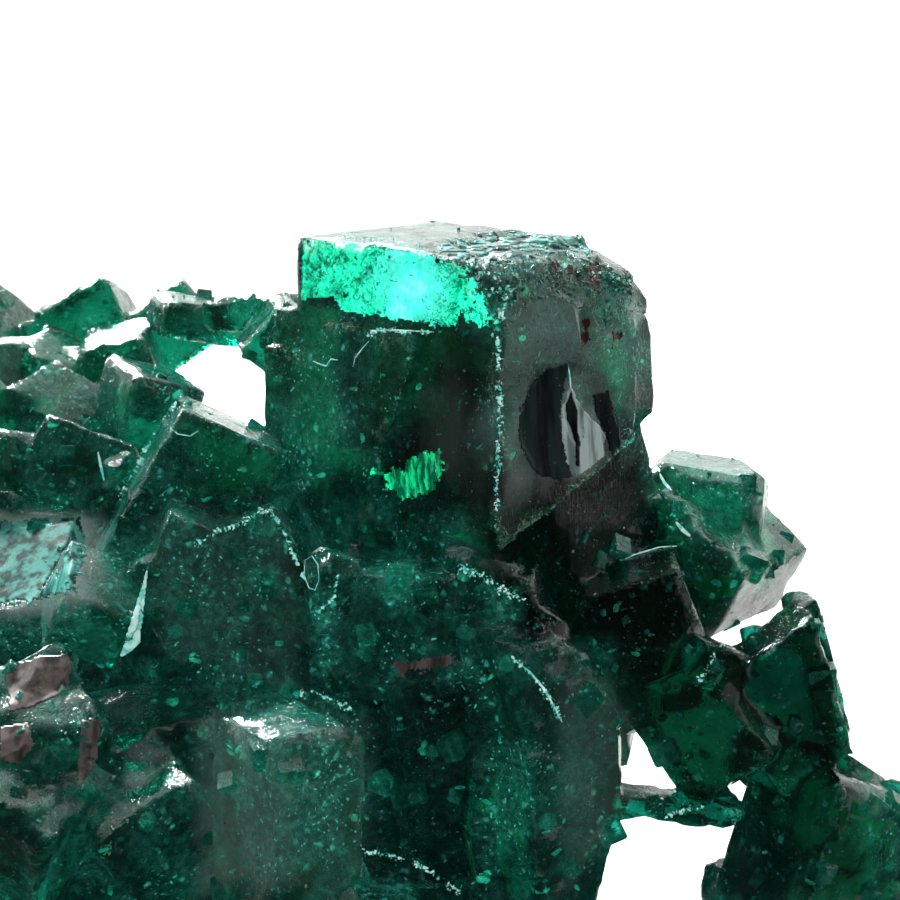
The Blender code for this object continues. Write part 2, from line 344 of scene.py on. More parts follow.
class Bench(NodeTree):
    """One material, and the few kinds of node that the finishes are made of."""

    def __init__(self, name: str) -> None:
        """Starts an empty material.

        Args:
            name: The material's name.
        """
        self.material = bpy.data.materials.new(name)
        self.material.use_nodes = True
        super().__init__(self.material.node_tree)
        self._place: Optional[Signal] = None

    @property
    def place(self) -> Signal:
        """The place on the piece, in millimetres."""
        if self._place is None:
            coordinates = self.signal(self.node("ShaderNodeTexCoord"), "Object")
            self._place = self.stretched(coordinates, (1 / MM, 1 / MM, 1 / MM))
        return self._place

    def stretched(self, vector: Signal, factors: Triple) -> Signal:
        """A vector with each part multiplied."""
        settings = {"operation": "MULTIPLY"}
        return self.signal(self.node("ShaderNodeVectorMath", settings, {0: vector, 1: factors}))

    def turned(self, vector: Signal, degrees: Triple) -> Signal:
        """A vector turned about X, then Y, then Z."""
        settings = {"rotation_type": "EULER_XYZ"}
        angles = tuple(math.radians(angle) for angle in degrees)
        inputs = {"Vector": vector, "Rotation": angles}
        return self.signal(self.node("ShaderNodeVectorRotate", settings, inputs))

    def distance(self, vector: Signal, point: Triple) -> Signal:
        """How far each place is from a point."""
        node = self.node("ShaderNodeVectorMath", {"operation": "DISTANCE"}, {0: vector, 1: point})
        return self.signal(node, "Value")

    def noise(
        self,
        per_mm: float,
        detail: float = 3.0,
        rough: float = 0.55,
        warp: float = 0.0,
        vector: Optional[Signal] = None,
    ) -> Signal:
        """Cloudy variation.

        Args:
            per_mm: How many clouds lie along a millimetre.
            detail: How many finer layers are added.
            rough: How strong these are.
            warp: How far the clouds are pulled about.
            vector: Where it is read, if not at the place on the piece.

        Returns:
            A value around 0.5.
        """
        inputs = {
            "Vector": vector or self.place,
            "Scale": per_mm,
            "Detail": detail,
            "Roughness": rough,
            "Distortion": warp,
        }
        return self.signal(self.node("ShaderNodeTexNoise", None, inputs), "Fac")

    def cells(self, per_mm: float, feature: str = "F1", vector: Optional[Signal] = None) -> Signal:
        """The distance to the middle, or to the rim, of scattered cells.

        Args:
            per_mm: How many cells lie along a millimetre.
            feature: Which distance is read.
            vector: Where it is read, if not at the place on the piece.

        Returns:
            The distance, as a share of a cell.
        """
        inputs = {"Vector": vector or self.place, "Scale": per_mm}
        return self.signal(self.node("ShaderNodeTexVoronoi", {"feature": feature}, inputs), "Distance")

    def pulled(self, by_mm: float, per_mm: float) -> Signal:
        """The place on the piece, pulled about so that what is read there is less regular.

        Args:
            by_mm: How far it is pulled at most.
            per_mm: How many times a millimetre the pull changes.

        Returns:
            The pulled place.
        """
        inputs = {"Vector": self.place, "Scale": per_mm, "Detail": 2.0}
        pull = self.signal(self.node("ShaderNodeTexNoise", None, inputs), "Color")
        pull = self.stretched(pull, (by_mm, by_mm, by_mm))
        return self.signal(self.node("ShaderNodeVectorMath", {"operation": "ADD"}, {0: self.place, 1: pull}))

    def mixed(self, share: Number, start: Colour, end: Colour) -> Signal:
        """The colour between start and end at this share."""
        node = self.node("ShaderNodeMix", {"data_type": "RGBA"}, {0: share, 6: start, 7: end})
        return self.signal(node, 2)

    def attribute(self, name: str) -> Signal:
        """A value that the mesh itself holds at each point."""
        node = self.node("ShaderNodeAttribute", {"attribute_name": name})
        return self.signal(node, "Fac")

    def raised(self, height: Number, depth_mm: float) -> Signal:
        """A bumped normal.

        Args:
            height: How high each place is, from 0 to 1.
            depth_mm: What a height of 1 stands for.

        Returns:
            The normal.
        """
        inputs = {"Height": height, "Distance": depth_mm * MM, "Strength": 1.0}
        return self.signal(self.node("ShaderNodeBump", None, inputs))

    def principled(self, inputs: Mapping[Union[str, int], object]) -> Signal:
        """A shader with these values."""
        return self.signal(self.node("ShaderNodeBsdfPrincipled", None, inputs))

    def lit(self, colour: Signal, rough: float, glow: float, gloss: float = 0.5) -> Signal:
        """A shader that also shines a little, in its own colour.

        Args:
            colour: Its colour.
            rough: How rough it is.
            glow: How strongly it shines.
            gloss: How much it mirrors.

        Returns:
            The shader.
        """
        return self.principled(
            {
                "Base Color": colour,
                "Roughness": rough,
                "Specular IOR Level": gloss,
                "Emission Color": colour,
                "Emission Strength": glow,
            }
        )

    def finish(self, surface: Signal, volume: Optional[Signal] = None) -> bpy.types.Material:
        """Connects the shaders.

        Args:
            surface: What the surface shows.
            volume: What fills the piece.

        Returns:
            The material.
        """
        inputs: dict[Union[str, int], object] = {"Surface": surface}
        if volume is not None:
            inputs["Volume"] = volume
        self.node("ShaderNodeOutputMaterial", None, inputs)
        self.material.cycles.emission_sampling = "NONE"
        return self.material


# Finishes


@dataclass(frozen=True)
class DioptaseGlass:
    """Clear emerald-green crystal, with etched faces and crumbled edges.

    Attributes:
        clear: The tint of a clean face, with deep where it is darker.
        milky: The tint where the surface is bruised.
        shade_tint: The tint of the painted shade, and grey and rust those of the painted sheen and of
            stained places.
        sheen: The painted sheen on pale places.
        glow_deep: The painted glow inside, with glow_pale where it is brightest.
        glow: How strong that light is.
        passed: What the crystal lets through of each colour in one unit of its depth.
        units_per_mm: How many such units there are in a millimetre.
        bend: The index of refraction.
        clearness: How much of the light goes through the surface.
    """

    name: str = "emerald_green_dioptase"
    clear: Triple = (0.08, 0.66, 0.50)
    deep: Triple = (0.015, 0.30, 0.22)
    milky: Triple = (0.50, 0.90, 0.80)
    shade_tint: Triple = (0.006, 0.012, 0.012)
    grey: Triple = (0.10, 0.16, 0.145)
    sheen: Triple = (0.175, 0.24, 0.22)
    rust: Triple = (0.10, 0.022, 0.020)
    glow_deep: Triple = (0.03, 0.47, 0.36)
    glow_pale: Triple = (0.12, 0.95, 0.68)
    glow: float = 0.70
    passed: Triple = (0.0, 0.86, 0.81)
    units_per_mm: float = 4.6
    bend: float = 1.66
    clearness: float = 0.86

    def make(self) -> bpy.types.Material:
        """The material."""
        bench = Bench(self.name)
        cloud = bench.noise(1.0, 4.0, 0.68)
        fleck = bench.noise(7.0, 2.0, 0.7)
        worn, stained, painted_shade, pale, glowing, streaked = (bench.attribute(kind.value) for kind in Painted)
        crumbled = (worn * 1.7 + (fleck - 0.5) * 1.2 - 0.4).step(0.0, 0.3)
        bubbles = (cloud * 0.6 + bench.noise(5.5, 2.0, 0.7) * 0.4).step(0.52, 0.62)
        pulled = bench.pulled(0.35, 2.6)
        upright = bench.stretched(bench.turned(bench.place, (0, 0, -43)), (6.0, 6.0, 0.35))
        # Painted glints: small flecks of milky colour.
        glints = fleck.step(0.70, 0.74)
        # Painted shade: smoother faces and a dark colour where the shade is painted.
        calm = 1.0 - painted_shade * 0.88
        painted_shade = painted_shade * (0.75 + cloud * 0.5)
        colour = bench.mixed(cloud.step(0.36, 0.62), self.deep, self.clear)
        colour = bench.mixed(bubbles * 0.6, colour, self.milky)
        colour = bench.mixed(painted_shade.at_most(1.0), colour, self.shade_tint)
        colour = bench.mixed((crumbled * 0.85).at_least(glints * 0.9), colour, self.milky)
        # Painted sheen: a grey base colour on the pale places.
        colour = bench.mixed(pale, colour, self.grey)
        colour = bench.mixed(stained, colour, self.rust)
        # Painted glow: spots and a faint cloudy glow of emitted light, more in the glowing marks and less in
        # the painted shade and sheen.
        coarse = 1.0 - bench.cells(2.9, vector=pulled).step(0.08, 0.30)
        fine = 1.0 - bench.cells(8.0, vector=pulled).step(0.10, 0.26)
        groups = (bench.noise(0.85, 3.0, 0.72) + glowing * 0.35).step(0.48, 0.62)
        spots = (coarse * 0.35 + fine * 0.65) * groups * (1.0 - painted_shade * 0.8) * (1.0 - pale)
        glow_haze = (cloud.step(0.38, 0.70) * 0.065 + 0.018) * (1.0 - painted_shade * 0.9)
        light = bench.mixed(fleck.step(0.4, 0.65), self.glow_deep, self.glow_pale)
        light = bench.mixed((spots + glow_haze + glowing * 0.25 * fleck).at_most(1.0), (0.0, 0.0, 0.0), light)
        # Painted sheen: a veil of emitted greenish grey light on the pale places, in upright stripes.
        veil = pale * (0.55 + bench.noise(0.45, 2.0, 0.65, 0.0, upright) * 0.9)
        light = bench.mixed(veil.at_most(1.0), light, self.sheen)
        etched = bench.noise(2.2, 2.0, 0.6).step(0.45, 0.7)
        rough = (0.05 + etched * 0.16) * calm + crumbled * 0.22 + stained * 0.3 + pale * 0.25
        height = bench.noise(1.4, 3.0, 0.62) * 0.5 + bench.noise(11.0, 2.0, 0.6) * (0.08 + etched * 0.22)
        leaning = bench.stretched(bench.turned(bench.place, (0, 28, 12)), (0.5, 4.0, 5.0))
        grain = bench.noise(5.0, 2.0, 0.6, 0.0, upright) * 0.2
        grain = grain + streaked * bench.noise(1.6, 2.0, 0.65, 0.0, leaning) * 3.0
        normal = bench.raised(height * calm + grain + crumbled * fleck * 0.9, 0.035)
        shader = bench.principled(
            {
                "Base Color": colour,
                "Roughness": rough,
                "IOR": self.bend,
                "Transmission Weight": self.clearness,
                "Normal": normal,
                "Emission Color": light,
                "Emission Strength": self.glow,
            }
        )
        depth = bench.node(
            "ShaderNodeVolumeAbsorption", None, {"Color": self.passed, "Density": self.units_per_mm / MM}
        )
        return bench.finish(shader, bench.signal(depth))


@dataclass(frozen=True)
class PaleFloor:
    """The matt, nearly white floor."""

    name: str = "pale_floor"
    colour: Triple = (0.86, 0.86, 0.87)
    shade: Triple = (0.83, 0.83, 0.84)

    def make(self) -> bpy.types.Material:
        """The material."""
        bench = Bench(self.name)
        tone = bench.mixed(bench.noise(0.02, 2.0).step(0.3, 0.7), self.colour, self.shade)
        return bench.finish(bench.principled({"Base Color": tone, "Roughness": 0.8}))


# Mesh work


class SpaceNoise:
    """Smooth random hills in space, the same on every run."""

    CELLS = 256

    def __init__(self, seed: int) -> None:
        """Draws the hills.

        Args:
            seed: Which set of hills it is.
        """
        rng = np.random.default_rng(seed)
        self.order = rng.permutation(self.CELLS)
        slopes = rng.normal(size=(self.CELLS, 3))
        self.slopes = slopes / np.linalg.norm(slopes, axis=1, keepdims=True)

    def at(self, points: np.ndarray, width: float) -> np.ndarray:
        """One layer of hills.

        Args:
            points: Where it is read.
            width: How far apart the hills are.

        Returns:
            A value from about -1 to 1 at each point.
        """
        place = points / width
        cell = np.floor(place).astype(int)
        inside = place - cell
        ease = inside**3 * (inside * (inside * 6.0 - 15.0) + 10.0)
        total = np.zeros(len(points))
        for corner in itertools.product((0, 1), repeat=3):
            key = self.order[(cell[:, 0] + corner[0]) % self.CELLS]
            key = self.order[(key + cell[:, 1] + corner[1]) % self.CELLS]
            key = self.order[(key + cell[:, 2] + corner[2]) % self.CELLS]
            drop = ((inside - corner) * self.slopes[key]).sum(1)
            share = np.ones(len(points))
            for axis in range(3):
                share *= ease[:, axis] if corner[axis] else 1.0 - ease[:, axis]
            total += share * drop
        return total * 1.7

    def layered(self, points: np.ndarray, width: float, layers: int, gain: float = 0.5) -> np.ndarray:
        """Several layers of hills, each half as wide as the one before.

        Args:
            points: Where it is read.
            width: How far apart the widest hills are.
            layers: How many layers there are.
            gain: How strong each is beside the one before.

        Returns:
            A value from about -1 to 1 at each point.
        """
        total = np.zeros(len(points))
        strength = 1.0
        for layer in range(layers):
            total += strength * self.at(points + 13.7 * layer, width / 2**layer)
            strength *= gain
        return total


class SkinGrid:
    """The points of a closed mesh as arrays, in millimetres."""

    def __init__(self, data: bpy.types.Mesh) -> None:
        """Reads a mesh.

        Args:
            data: The mesh, in millimetres.
        """
        self.data = data
        self.points = np.zeros(len(data.vertices) * 3)
        data.vertices.foreach_get("co", self.points)
        self.points = self.points.reshape(-1, 3)
        pairs = np.zeros(len(data.edges) * 2, int)
        data.edges.foreach_get("vertices", pairs)
        self.pairs = pairs.reshape(-1, 2)
        self.links = np.bincount(self.pairs.ravel(), minlength=len(self.points)).clip(1)
        self.facing = self.read_facing()

    def read_facing(self) -> np.ndarray:
        """The outward direction at each point."""
        facing = np.zeros(len(self.data.vertices) * 3)
        self.data.vertices.foreach_get("normal", facing)
        return facing.reshape(-1, 3)

    def spread(self, values: np.ndarray, rounds: int) -> np.ndarray:
        """Each value averaged with its neighbours'.

        Args:
            values: One value for each point, or one row.
            rounds: How many times.

        Returns:
            The softened values.
        """
        first, second = self.pairs[:, 0], self.pairs[:, 1]
        for _ in range(rounds):
            if values.ndim == 1:
                total = np.bincount(first, values[second], len(values))
                total += np.bincount(second, values[first], len(values))
                values = 0.5 * values + 0.5 * total / self.links
            else:
                values = np.stack([self.spread(values[:, axis], 1) for axis in range(3)], 1)
        return values

    def sharpness(self, rounds: int) -> np.ndarray:
        """How much each point stands out from those around it.

        Args:
            rounds: How far around it looks.

        Returns:
            Above 0 on edges and corners, below 0 in grooves, and 0 on flat faces.
        """
        return ((self.points - self.spread(self.points, rounds)) * self.facing).sum(1)

    def write(self) -> None:
        """Puts the points back into the mesh."""
        self.data.vertices.foreach_set("co", self.points.ravel())
        self.data.update()


def add_object(name: str, data: bpy.types.Mesh) -> bpy.types.Object:
    """A new object in the scene."""
    piece = bpy.data.objects.new(name, data)
    bpy.context.scene.collection.objects.link(piece)
    return piece


def apply_modifiers(piece: bpy.types.Object) -> None:
    """Makes what the modifiers show the piece's own mesh.

    Args:
        piece: The object.
    """
    graph = bpy.context.evaluated_depsgraph_get()
    data = bpy.data.meshes.new_from_object(piece.evaluated_get(graph))
    piece.modifiers.clear()
    old = piece.data
    piece.data = data
    bpy.data.meshes.remove(old)


@dataclass(frozen=True)
class Grain:
    """A small closed shape about 1 across: its points and its faces."""

    points: np.ndarray
    faces: tuple[tuple[int, ...], ...]

    @staticmethod
    def of(mesh: bmesh.types.BMesh) -> "Grain":
        """Reads a grain from a mesh, which is freed."""
        mesh.verts.index_update()
        faces = tuple(tuple(vert.index for vert in face.verts) for face in mesh.faces)
        grain = Grain(np.array([vert.co for vert in mesh.verts]), faces)
        mesh.free()
        return grain


def rhomb_grain(squash: float, worn: float) -> Grain:
    """A small rhombohedron with dulled edges.

    Args:
        squash: How much it is squashed along its three-fold axis.
        worn: How wide its dulled edges are.

    Returns:
        The grain.
    """
    mesh = bmesh.new()
    bmesh.ops.create_cube(mesh, size=1.0)
    bmesh.ops.bevel(mesh, geom=mesh.edges[:], offset=worn, segments=1, affect="EDGES")
    squashed = Matrix.Scale(squash, 4, Vector((1, 1, 1)).normalized())
    bmesh.ops.transform(mesh, matrix=squashed, verts=mesh.verts)
    bmesh.ops.recalc_face_normals(mesh, faces=mesh.faces)
    return Grain.of(mesh)


def chip_grain(rng: np.random.Generator, corners: int) -> Grain:
    """A sharp little chip.

    Args:
        rng: Where its shape comes from.
        corners: How many points it is stretched over.

    Returns:
        The grain.
    """
    mesh = bmesh.new()
    for place in rng.normal(size=(corners, 3)) * 0.5:
        mesh.verts.new(place)
    hull = bmesh.ops.convex_hull(mesh, input=mesh.verts)
    inner = {vert for vert in hull["geom_interior"] if isinstance(vert, bmesh.types.BMVert)}
    bmesh.ops.delete(mesh, geom=list(inner), context="VERTS")
    bmesh.ops.recalc_face_normals(mesh, faces=mesh.faces)
    return Grain.of(mesh)


class Scatter:
    """Collects grains in their places, and makes one piece of them."""

    def __init__(self) -> None:
        """Starts with none."""
        self.points: list[np.ndarray] = []
        self.faces: list[tuple[int, ...]] = []
        self.total = 0

    def add(self, grain: Grain, place: Sequence[float], turn: Matrix, sizes: Triple) -> None:
        """Adds one grain.

        Args:
            grain: Its shape.
            place: Its middle, in millimetres.
            turn: How it is turned.
            sizes: Its size along its own three directions.
        """
        points = (grain.points * sizes) @ np.array(turn.to_3x3()).T + np.array(place)
        self.points.append(points)
        self.faces.extend(tuple(self.total + index for index in face) for face in grain.faces)
        self.total += len(points)

    def piece(self, name: str, finish: bpy.types.Material) -> bpy.types.Object:
        """Makes the object.

        Args:
            name: Its name.
            finish: Its material.

        Returns:
            The object, in metres.
        """
        data = bpy.data.meshes.new(name)
        points = np.clip(np.concatenate(self.points), *BOX)
        data.from_pydata((points * MM).tolist(), [], self.faces)
        data.update()
        data.materials.append(finish)
        LOG.info("%s: %d faces", name, len(self.faces))
        return add_object(name, data)


@dataclass(frozen=True)
class Spot:
    """A place on the skin, and the direction that the skin faces there."""

    place: Vector
    outward: Vector


class SkinSampler:
    """Finds random places on the skin, the same on every run."""

    def __init__(self, skin: bpy.types.Object) -> None:
        """Reads the skin.

        Args:
            skin: The skin, in metres and cut into triangles.
        """
        data = skin.data
        places = np.zeros(len(data.vertices) * 3)
        data.vertices.foreach_get("co", places)
        corners = np.zeros(len(data.loops), int)
        data.loops.foreach_get("vertex_index", corners)
        self.places = places.reshape(-1, 3) / MM
        self.corners = corners.reshape(-1, 3)
        self.tree = BVHTree.FromPolygons(self.places.tolist(), self.corners.tolist())
        first, second, third = (self.places[self.corners[:, k]] for k in range(3))
        across = np.cross(second - first, third - first)
        area = np.linalg.norm(across, axis=1)
        self.outward = across / np.maximum(area, 1e-12)[:, None]
        self.shares = area / area.sum()
        worn = np.zeros(len(data.vertices), np.float32)
        data.attributes["worn"].data.foreach_get("value", worn)
        self.worn = worn[self.corners].mean(1)
        self.rng = np.random.default_rng(0)

    def restart(self, seed: int) -> np.random.Generator:
        """Starts a new set of random places.

        Args:
            seed: Which set it is.

        Returns:
            The source of its numbers.
        """
        self.rng = np.random.default_rng(seed)
        return self.rng

    def _spot(self, index: int) -> Spot:
        """A random place on one triangle."""
        place = self.rng.dirichlet(np.ones(3)) @ self.places[self.corners[index]]
        return Spot(Vector(place), Vector(self.outward[index]))

    def anywhere(self, count: int) -> list[Spot]:
        """Places spread evenly over the skin."""
        return [self._spot(int(index)) for index in self.rng.choice(len(self.shares), count, p=self.shares)]

    def on_worn_edges(self, count: int) -> list[Spot]:
        """Places where the edges are worn."""
        shares = self.shares * np.clip(self.worn - 0.3, 0, None)
        chosen = self.rng.choice(len(shares), count, p=shares / shares.sum())
        return [self._spot(int(index)) for index in chosen]

    def seen(self, count: int) -> list[Spot]:
        """Places spread evenly over what is seen from the front.

        Args:
            count: How many lines of sight are tried.

        Returns:
            The places that these meet.
        """
        tries = self.rng.uniform(0, 2 * FRONT.middle, (count, 2))
        found = [self.seen_at(float(across), float(down)) for across, down in tries]
        return [spot for spot in found if spot is not None]

    def seen_at(self, across: float, down: float) -> Optional[Spot]:
        """The place on the skin that is seen from the front here."""
        place, outward, _, _ = self.tree.ray_cast(Vector(FRONT.eye), FRONT.line(across, down))
        return None if place is None else Spot(place, outward)


def turned_to(outward: Vector, spin: float, lean: Vector) -> Matrix:
    """A turn that brings Z to a direction.

    Args:
        outward: The direction.
        spin: How far it is turned about that direction, in radians.
        lean: What is added to the direction before it is used.

    Returns:
        The turn.
    """
    up = (outward + lean).normalized()
    return up.to_track_quat("Z", "Y").to_matrix() @ Matrix.Rotation(spin, 3, "Z")


def tumbled(rng: np.random.Generator) -> Matrix:
    """A random turn.

    Args:
        rng: Where it comes from.

    Returns:
        The turn.
    """
    up = Vector(rng.normal(size=3)).normalized()
    return turned_to(up, float(rng.uniform(0, math.tau)), Vector())


def picked(shapes: Sequence[Grain], rng: np.random.Generator) -> Grain:
    """One of these shapes, drawn at random."""
    return shapes[int(rng.integers(len(shapes)))]


# The cluster


@dataclass(frozen=True)
class Mark:
    """Something painted on the skin as it is seen from the front.

    Attributes:
        kind: What is painted.
        outline: Its corners in the view.
        strength: How strong it is inside.
        soft: How broad its rim is, in steps of the view.
        ragged: How far the rim strays.
        hollow: How deep the skin is hollowed there, in millimetres.
        lumps: How high the lumps are there, in millimetres.
    """

    kind: Painted
    outline: Outline
    strength: float = 1.0
    soft: float = 3.0
    ragged: float = 3.0
    hollow: float = 0.0
    lumps: float = 0.0


@dataclass(frozen=True)
class Chip:
    """A corner or an edge that is broken off along a rough plane.

    Attributes:
        place: A place on the plane.
        outward: The direction of what is broken off.
        reach: How far from the place it goes.
        rough: How rough the break is.
    """

    place: Triple
    outward: Triple
    reach: float
    rough: float = 0.05


def spot_mark(kind: Painted, across: float, down: float, radius: float, strength: float = 1.0) -> Mark:
    """A small round mark."""
    turns = [k * math.tau / 8 for k in range(8)]
    outline = tuple((across + radius * math.cos(turn), down + radius * math.sin(turn)) for turn in turns)
    return Mark(kind, outline, strength, radius * 0.6, radius * 0.4)


@dataclass
class ClusterSkin:
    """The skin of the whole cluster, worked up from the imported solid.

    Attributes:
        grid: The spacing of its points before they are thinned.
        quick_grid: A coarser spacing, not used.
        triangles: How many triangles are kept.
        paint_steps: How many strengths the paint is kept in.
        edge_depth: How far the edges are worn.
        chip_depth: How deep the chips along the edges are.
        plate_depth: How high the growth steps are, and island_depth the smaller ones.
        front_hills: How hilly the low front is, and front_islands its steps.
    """

    grid: float = 0.072
    quick_grid: float = 0.10
    triangles: int = 190_000
    paint_steps: int = 20
    edge_depth: float = 0.012
    chip_depth: float = 0.11
    plate_depth: float = 0.022
    island_depth: float = 0.012
    front_hills: float = 0.16
    front_islands: float = 0.02
    seed: int = 5
    chips: tuple[Chip, ...] = (
        Chip((2.76, -3.0, 19.0), (0.217, -0.803, 0.555), 1.6),
        Chip((1.9, -2.1, 19.88), (-0.30, -0.45, 0.84), 1.1, 0.03),
        Chip((4.6, -1.1, 19.1), (0.55, -0.50, 0.67), 1.2, 0.06),
        Chip((5.9, 0.1, 18.9), (0.75, -0.30, 0.60), 0.8, 0.06),
    )
    marks: tuple[Mark, ...] = (
        # painted shade in the striped brown face, the scar, under the tall block, in the right arm and lower
        # down, and painted sheen beside it and on other faces
        Mark(Painted.PAINTED_SHADE, ((436, 330), (494, 334), (496, 530), (400, 520), (382, 470), (396, 440),
            (434, 395)), 0.85, 3, 5),
        Mark(Painted.PAINTED_SHADE, ((569, 362), (530, 384), (518, 436), (536, 476), (572, 480), (562, 410)),
            1.0, 1.5, 1.5, 0.05),
        Mark(Painted.PAINTED_SHADE, ((492, 470), (530, 456), (540, 475), (640, 440), (700, 640), (520, 640),
            (480, 545)), 1.0, 5, 6),
        Mark(Painted.PAINTED_SHADE, ((590, 392), (612, 388), (622, 446), (600, 470), (604, 436), (592, 420)),
            0.9, 2, 2),
        Mark(Painted.PAINTED_SHADE, ((600, 540), (727, 545), (735, 620), (860, 800), (860, 900), (730, 900),
            (620, 800)), 0.85, 8, 8),
        Mark(Painted.PAINTED_SHADE, ((364, 700), (470, 690), (473, 900), (370, 900)), 0.65, 5, 6),
        Mark(Painted.PAINTED_SHADE, ((90, 655), (200, 690), (198, 760), (100, 760)), 0.6, 8, 8),
        Mark(Painted.PAINTED_SHEEN, ((570, 390), (562, 410), (563, 436), (568, 464), (576, 476), (602, 458),
            (604, 436), (590, 420)), 0.95, 1, 1, 0.03),
        Mark(Painted.PAINTED_SHEEN, ((503, 330), (540, 292), (600, 300), (612, 345), (585, 372), (566, 358),
            (530, 376), (520, 430), (500, 462)), 0.16, 5, 4),
        Mark(Painted.PAINTED_SHEEN, ((612, 310), (642, 285), (645, 410), (632, 425), (612, 385)), 0.12, 5, 4),
        Mark(Painted.PAINTED_SHEEN, ((500, 395), (520, 372), (517, 440), (527, 455), (500, 462)), 0.40, 3, 2),
        Mark(Painted.PAINTED_SHEEN, ((498, 480), (536, 470), (534, 478), (500, 512)), 0.50, 2, 2),
        Mark(Painted.PAINTED_SHEEN, ((440, 395), (470, 400), (472, 470), (425, 460)), 0.12, 6, 5),
        Mark(Painted.PAINTED_SHEEN, ((204, 715), (290, 715), (290, 890), (204, 890)), 0.22, 10, 8),
        Mark(Painted.PAINTED_SHEEN, ((290, 715), (370, 720), (366, 890), (290, 890)), 0.05, 10, 8),
        Mark(Painted.PAINTED_SHEEN, ((570, 655), (622, 700), (630, 790), (570, 890), (560, 720)), 0.12, 10, 8),
        Mark(Painted.PAINTED_SHEEN, ((150, 520), (290, 520), (300, 690), (160, 650)), 0.06, 10, 8),
        # painted shade in the scar's split and the right arm, painted sheen, streaked bumps and glow on the
        # left plate, and painted sheen on the top face
        Mark(Painted.PAINTED_SHADE, ((572, 394), (565, 412), (572, 436), (577, 444), (578, 464), (580, 444),
            (576, 412)), 1.0, 0.8, 0.5, 0.06),
        Mark(Painted.PAINTED_SHADE, ((735, 590), (830, 600), (850, 800), (735, 700)), 1.0, 8, 8),
        Mark(Painted.PAINTED_SHEEN, ((-10, 515), (95, 515), (100, 600), (-10, 620)), 0.9, 8, 6),
        Mark(Painted.STREAKED, ((-10, 520), (95, 515), (150, 560), (100, 600), (60, 660), (-10, 660)),
            0.2, 5, 5),
        Mark(Painted.GLOWING, ((-10, 520), (95, 515), (150, 560), (100, 600), (60, 660), (-10, 660)),
            0.5, 8, 6),
        Mark(Painted.PAINTED_SHEEN, ((425, 246), (470, 236), (560, 218), (620, 236), (545, 259), (465, 263)),
            0.95, 4, 4, 0.02, 0.30),
        Mark(Painted.WORN, ((466, 266), (538, 260), (520, 300), (496, 328), (480, 300)), 0.9, 3, 4,
            0.0, 0.10),
        # the pits, and the lumps around them
        Mark(Painted.STAINED, ((583, 262), (600, 258), (606, 280), (594, 290), (585, 276)), 1.0, 2, 3,
            0.14),
        Mark(Painted.STAINED, ((580, 318), (590, 312), (592, 340), (586, 350), (580, 338)), 1.0, 2, 2,
            0.12),
        Mark(Painted.STAINED, ((611, 330), (624, 328), (624, 340), (613, 342)), 1.0, 2, 2, 0.10),
        Mark(Painted.STAINED, ((548, 262), (560, 258), (562, 272), (552, 276)), 0.8, 2, 2, 0.08),
        Mark(Painted.WORN, ((545, 258), (640, 270), (645, 320), (600, 335), (575, 300), (545, 290)),
            0.35, 8, 8, 0.02, 0.14),
        # places full of light
        Mark(Painted.GLOWING, ((300, 340), (345, 345), (350, 420), (300, 500), (285, 440)), 0.35, 12, 10),
        Mark(Painted.GLOWING, ((605, 290), (640, 290), (645, 380), (610, 370)), 0.40, 8, 6),
        Mark(Painted.GLOWING, ((310, 600), (335, 590), (332, 665), (318, 680)), 1.0, 5, 6),
        Mark(Painted.GLOWING, ((380, 560), (412, 556), (415, 610), (385, 612)), 1.0, 5, 6),
        Mark(Painted.GLOWING, ((480, 580), (520, 590), (520, 620), (490, 625)), 0.7, 5, 6),
        Mark(Painted.GLOWING, ((165, 540), (270, 530), (280, 600), (230, 640), (160, 600)), 0.35, 14, 12),
        Mark(Painted.GLOWING, ((480, 740), (540, 740), (545, 830), (480, 860)), 0.45, 14, 12),
        Mark(Painted.GLOWING, ((230, 700), (345, 700), (350, 860), (240, 880)), 0.55, 10, 8),
        Mark(Painted.GLOWING, ((662, 470), (760, 455), (800, 540), (740, 560), (680, 520)), 0.30, 14, 10),
        spot_mark(Painted.GLOWING, 366, 372, 6),
        spot_mark(Painted.GLOWING, 404, 362, 5),
        spot_mark(Painted.GLOWING, 412, 340, 6, 0.8),
        spot_mark(Painted.GLOWING, 290, 440, 7, 0.7),
        spot_mark(Painted.GLOWING, 394, 888, 14),
        spot_mark(Painted.GLOWING, 50, 370, 12, 0.8),
        spot_mark(Painted.GLOWING, 170, 362, 10, 0.8),
        spot_mark(Painted.GLOWING, 690, 470, 9, 0.6),
        spot_mark(Painted.GLOWING, 145, 672, 8),
        spot_mark(Painted.GLOWING, 60, 750, 9),
        spot_mark(Painted.GLOWING, 92, 520, 9, 0.8),
    )
    finish: DioptaseGlass = field(default_factory=DioptaseGlass)

    def build(self) -> bpy.types.Object:
        """Makes the piece.

        Returns:
            The dressed object, in metres.
        """
        piece = add_object("dioptase_crystals", self._solid_copy())
        refine = piece.modifiers.new("even_grid", "REMESH")
        refine.mode = "VOXEL"
        refine.voxel_size = self.grid
        apply_modifiers(piece)
        grid = SkinGrid(piece.data)
        paint = self._wear(grid)
        grid.write()
        self._thin(piece, grid, paint)
        self._to_metres(piece)
        piece.data.materials.clear()
        piece.data.materials.append(self.finish.make())
        LOG.info("%s: %d triangles", piece.name, len(piece.data.polygons))
        return piece

    @staticmethod
    def _solid_copy() -> bpy.types.Mesh:
        """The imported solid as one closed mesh, in millimetres."""
        mesh = bmesh.new()
        mesh.from_mesh(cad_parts[NODE].data)
        bmesh.ops.scale(mesh, vec=(1 / MM, 1 / MM, 1 / MM), verts=mesh.verts)
        bmesh.ops.remove_doubles(mesh, verts=mesh.verts, dist=0.001)
        data = bpy.data.meshes.new("dioptase_crystals")
        mesh.to_mesh(data)
        mesh.free()
        return data

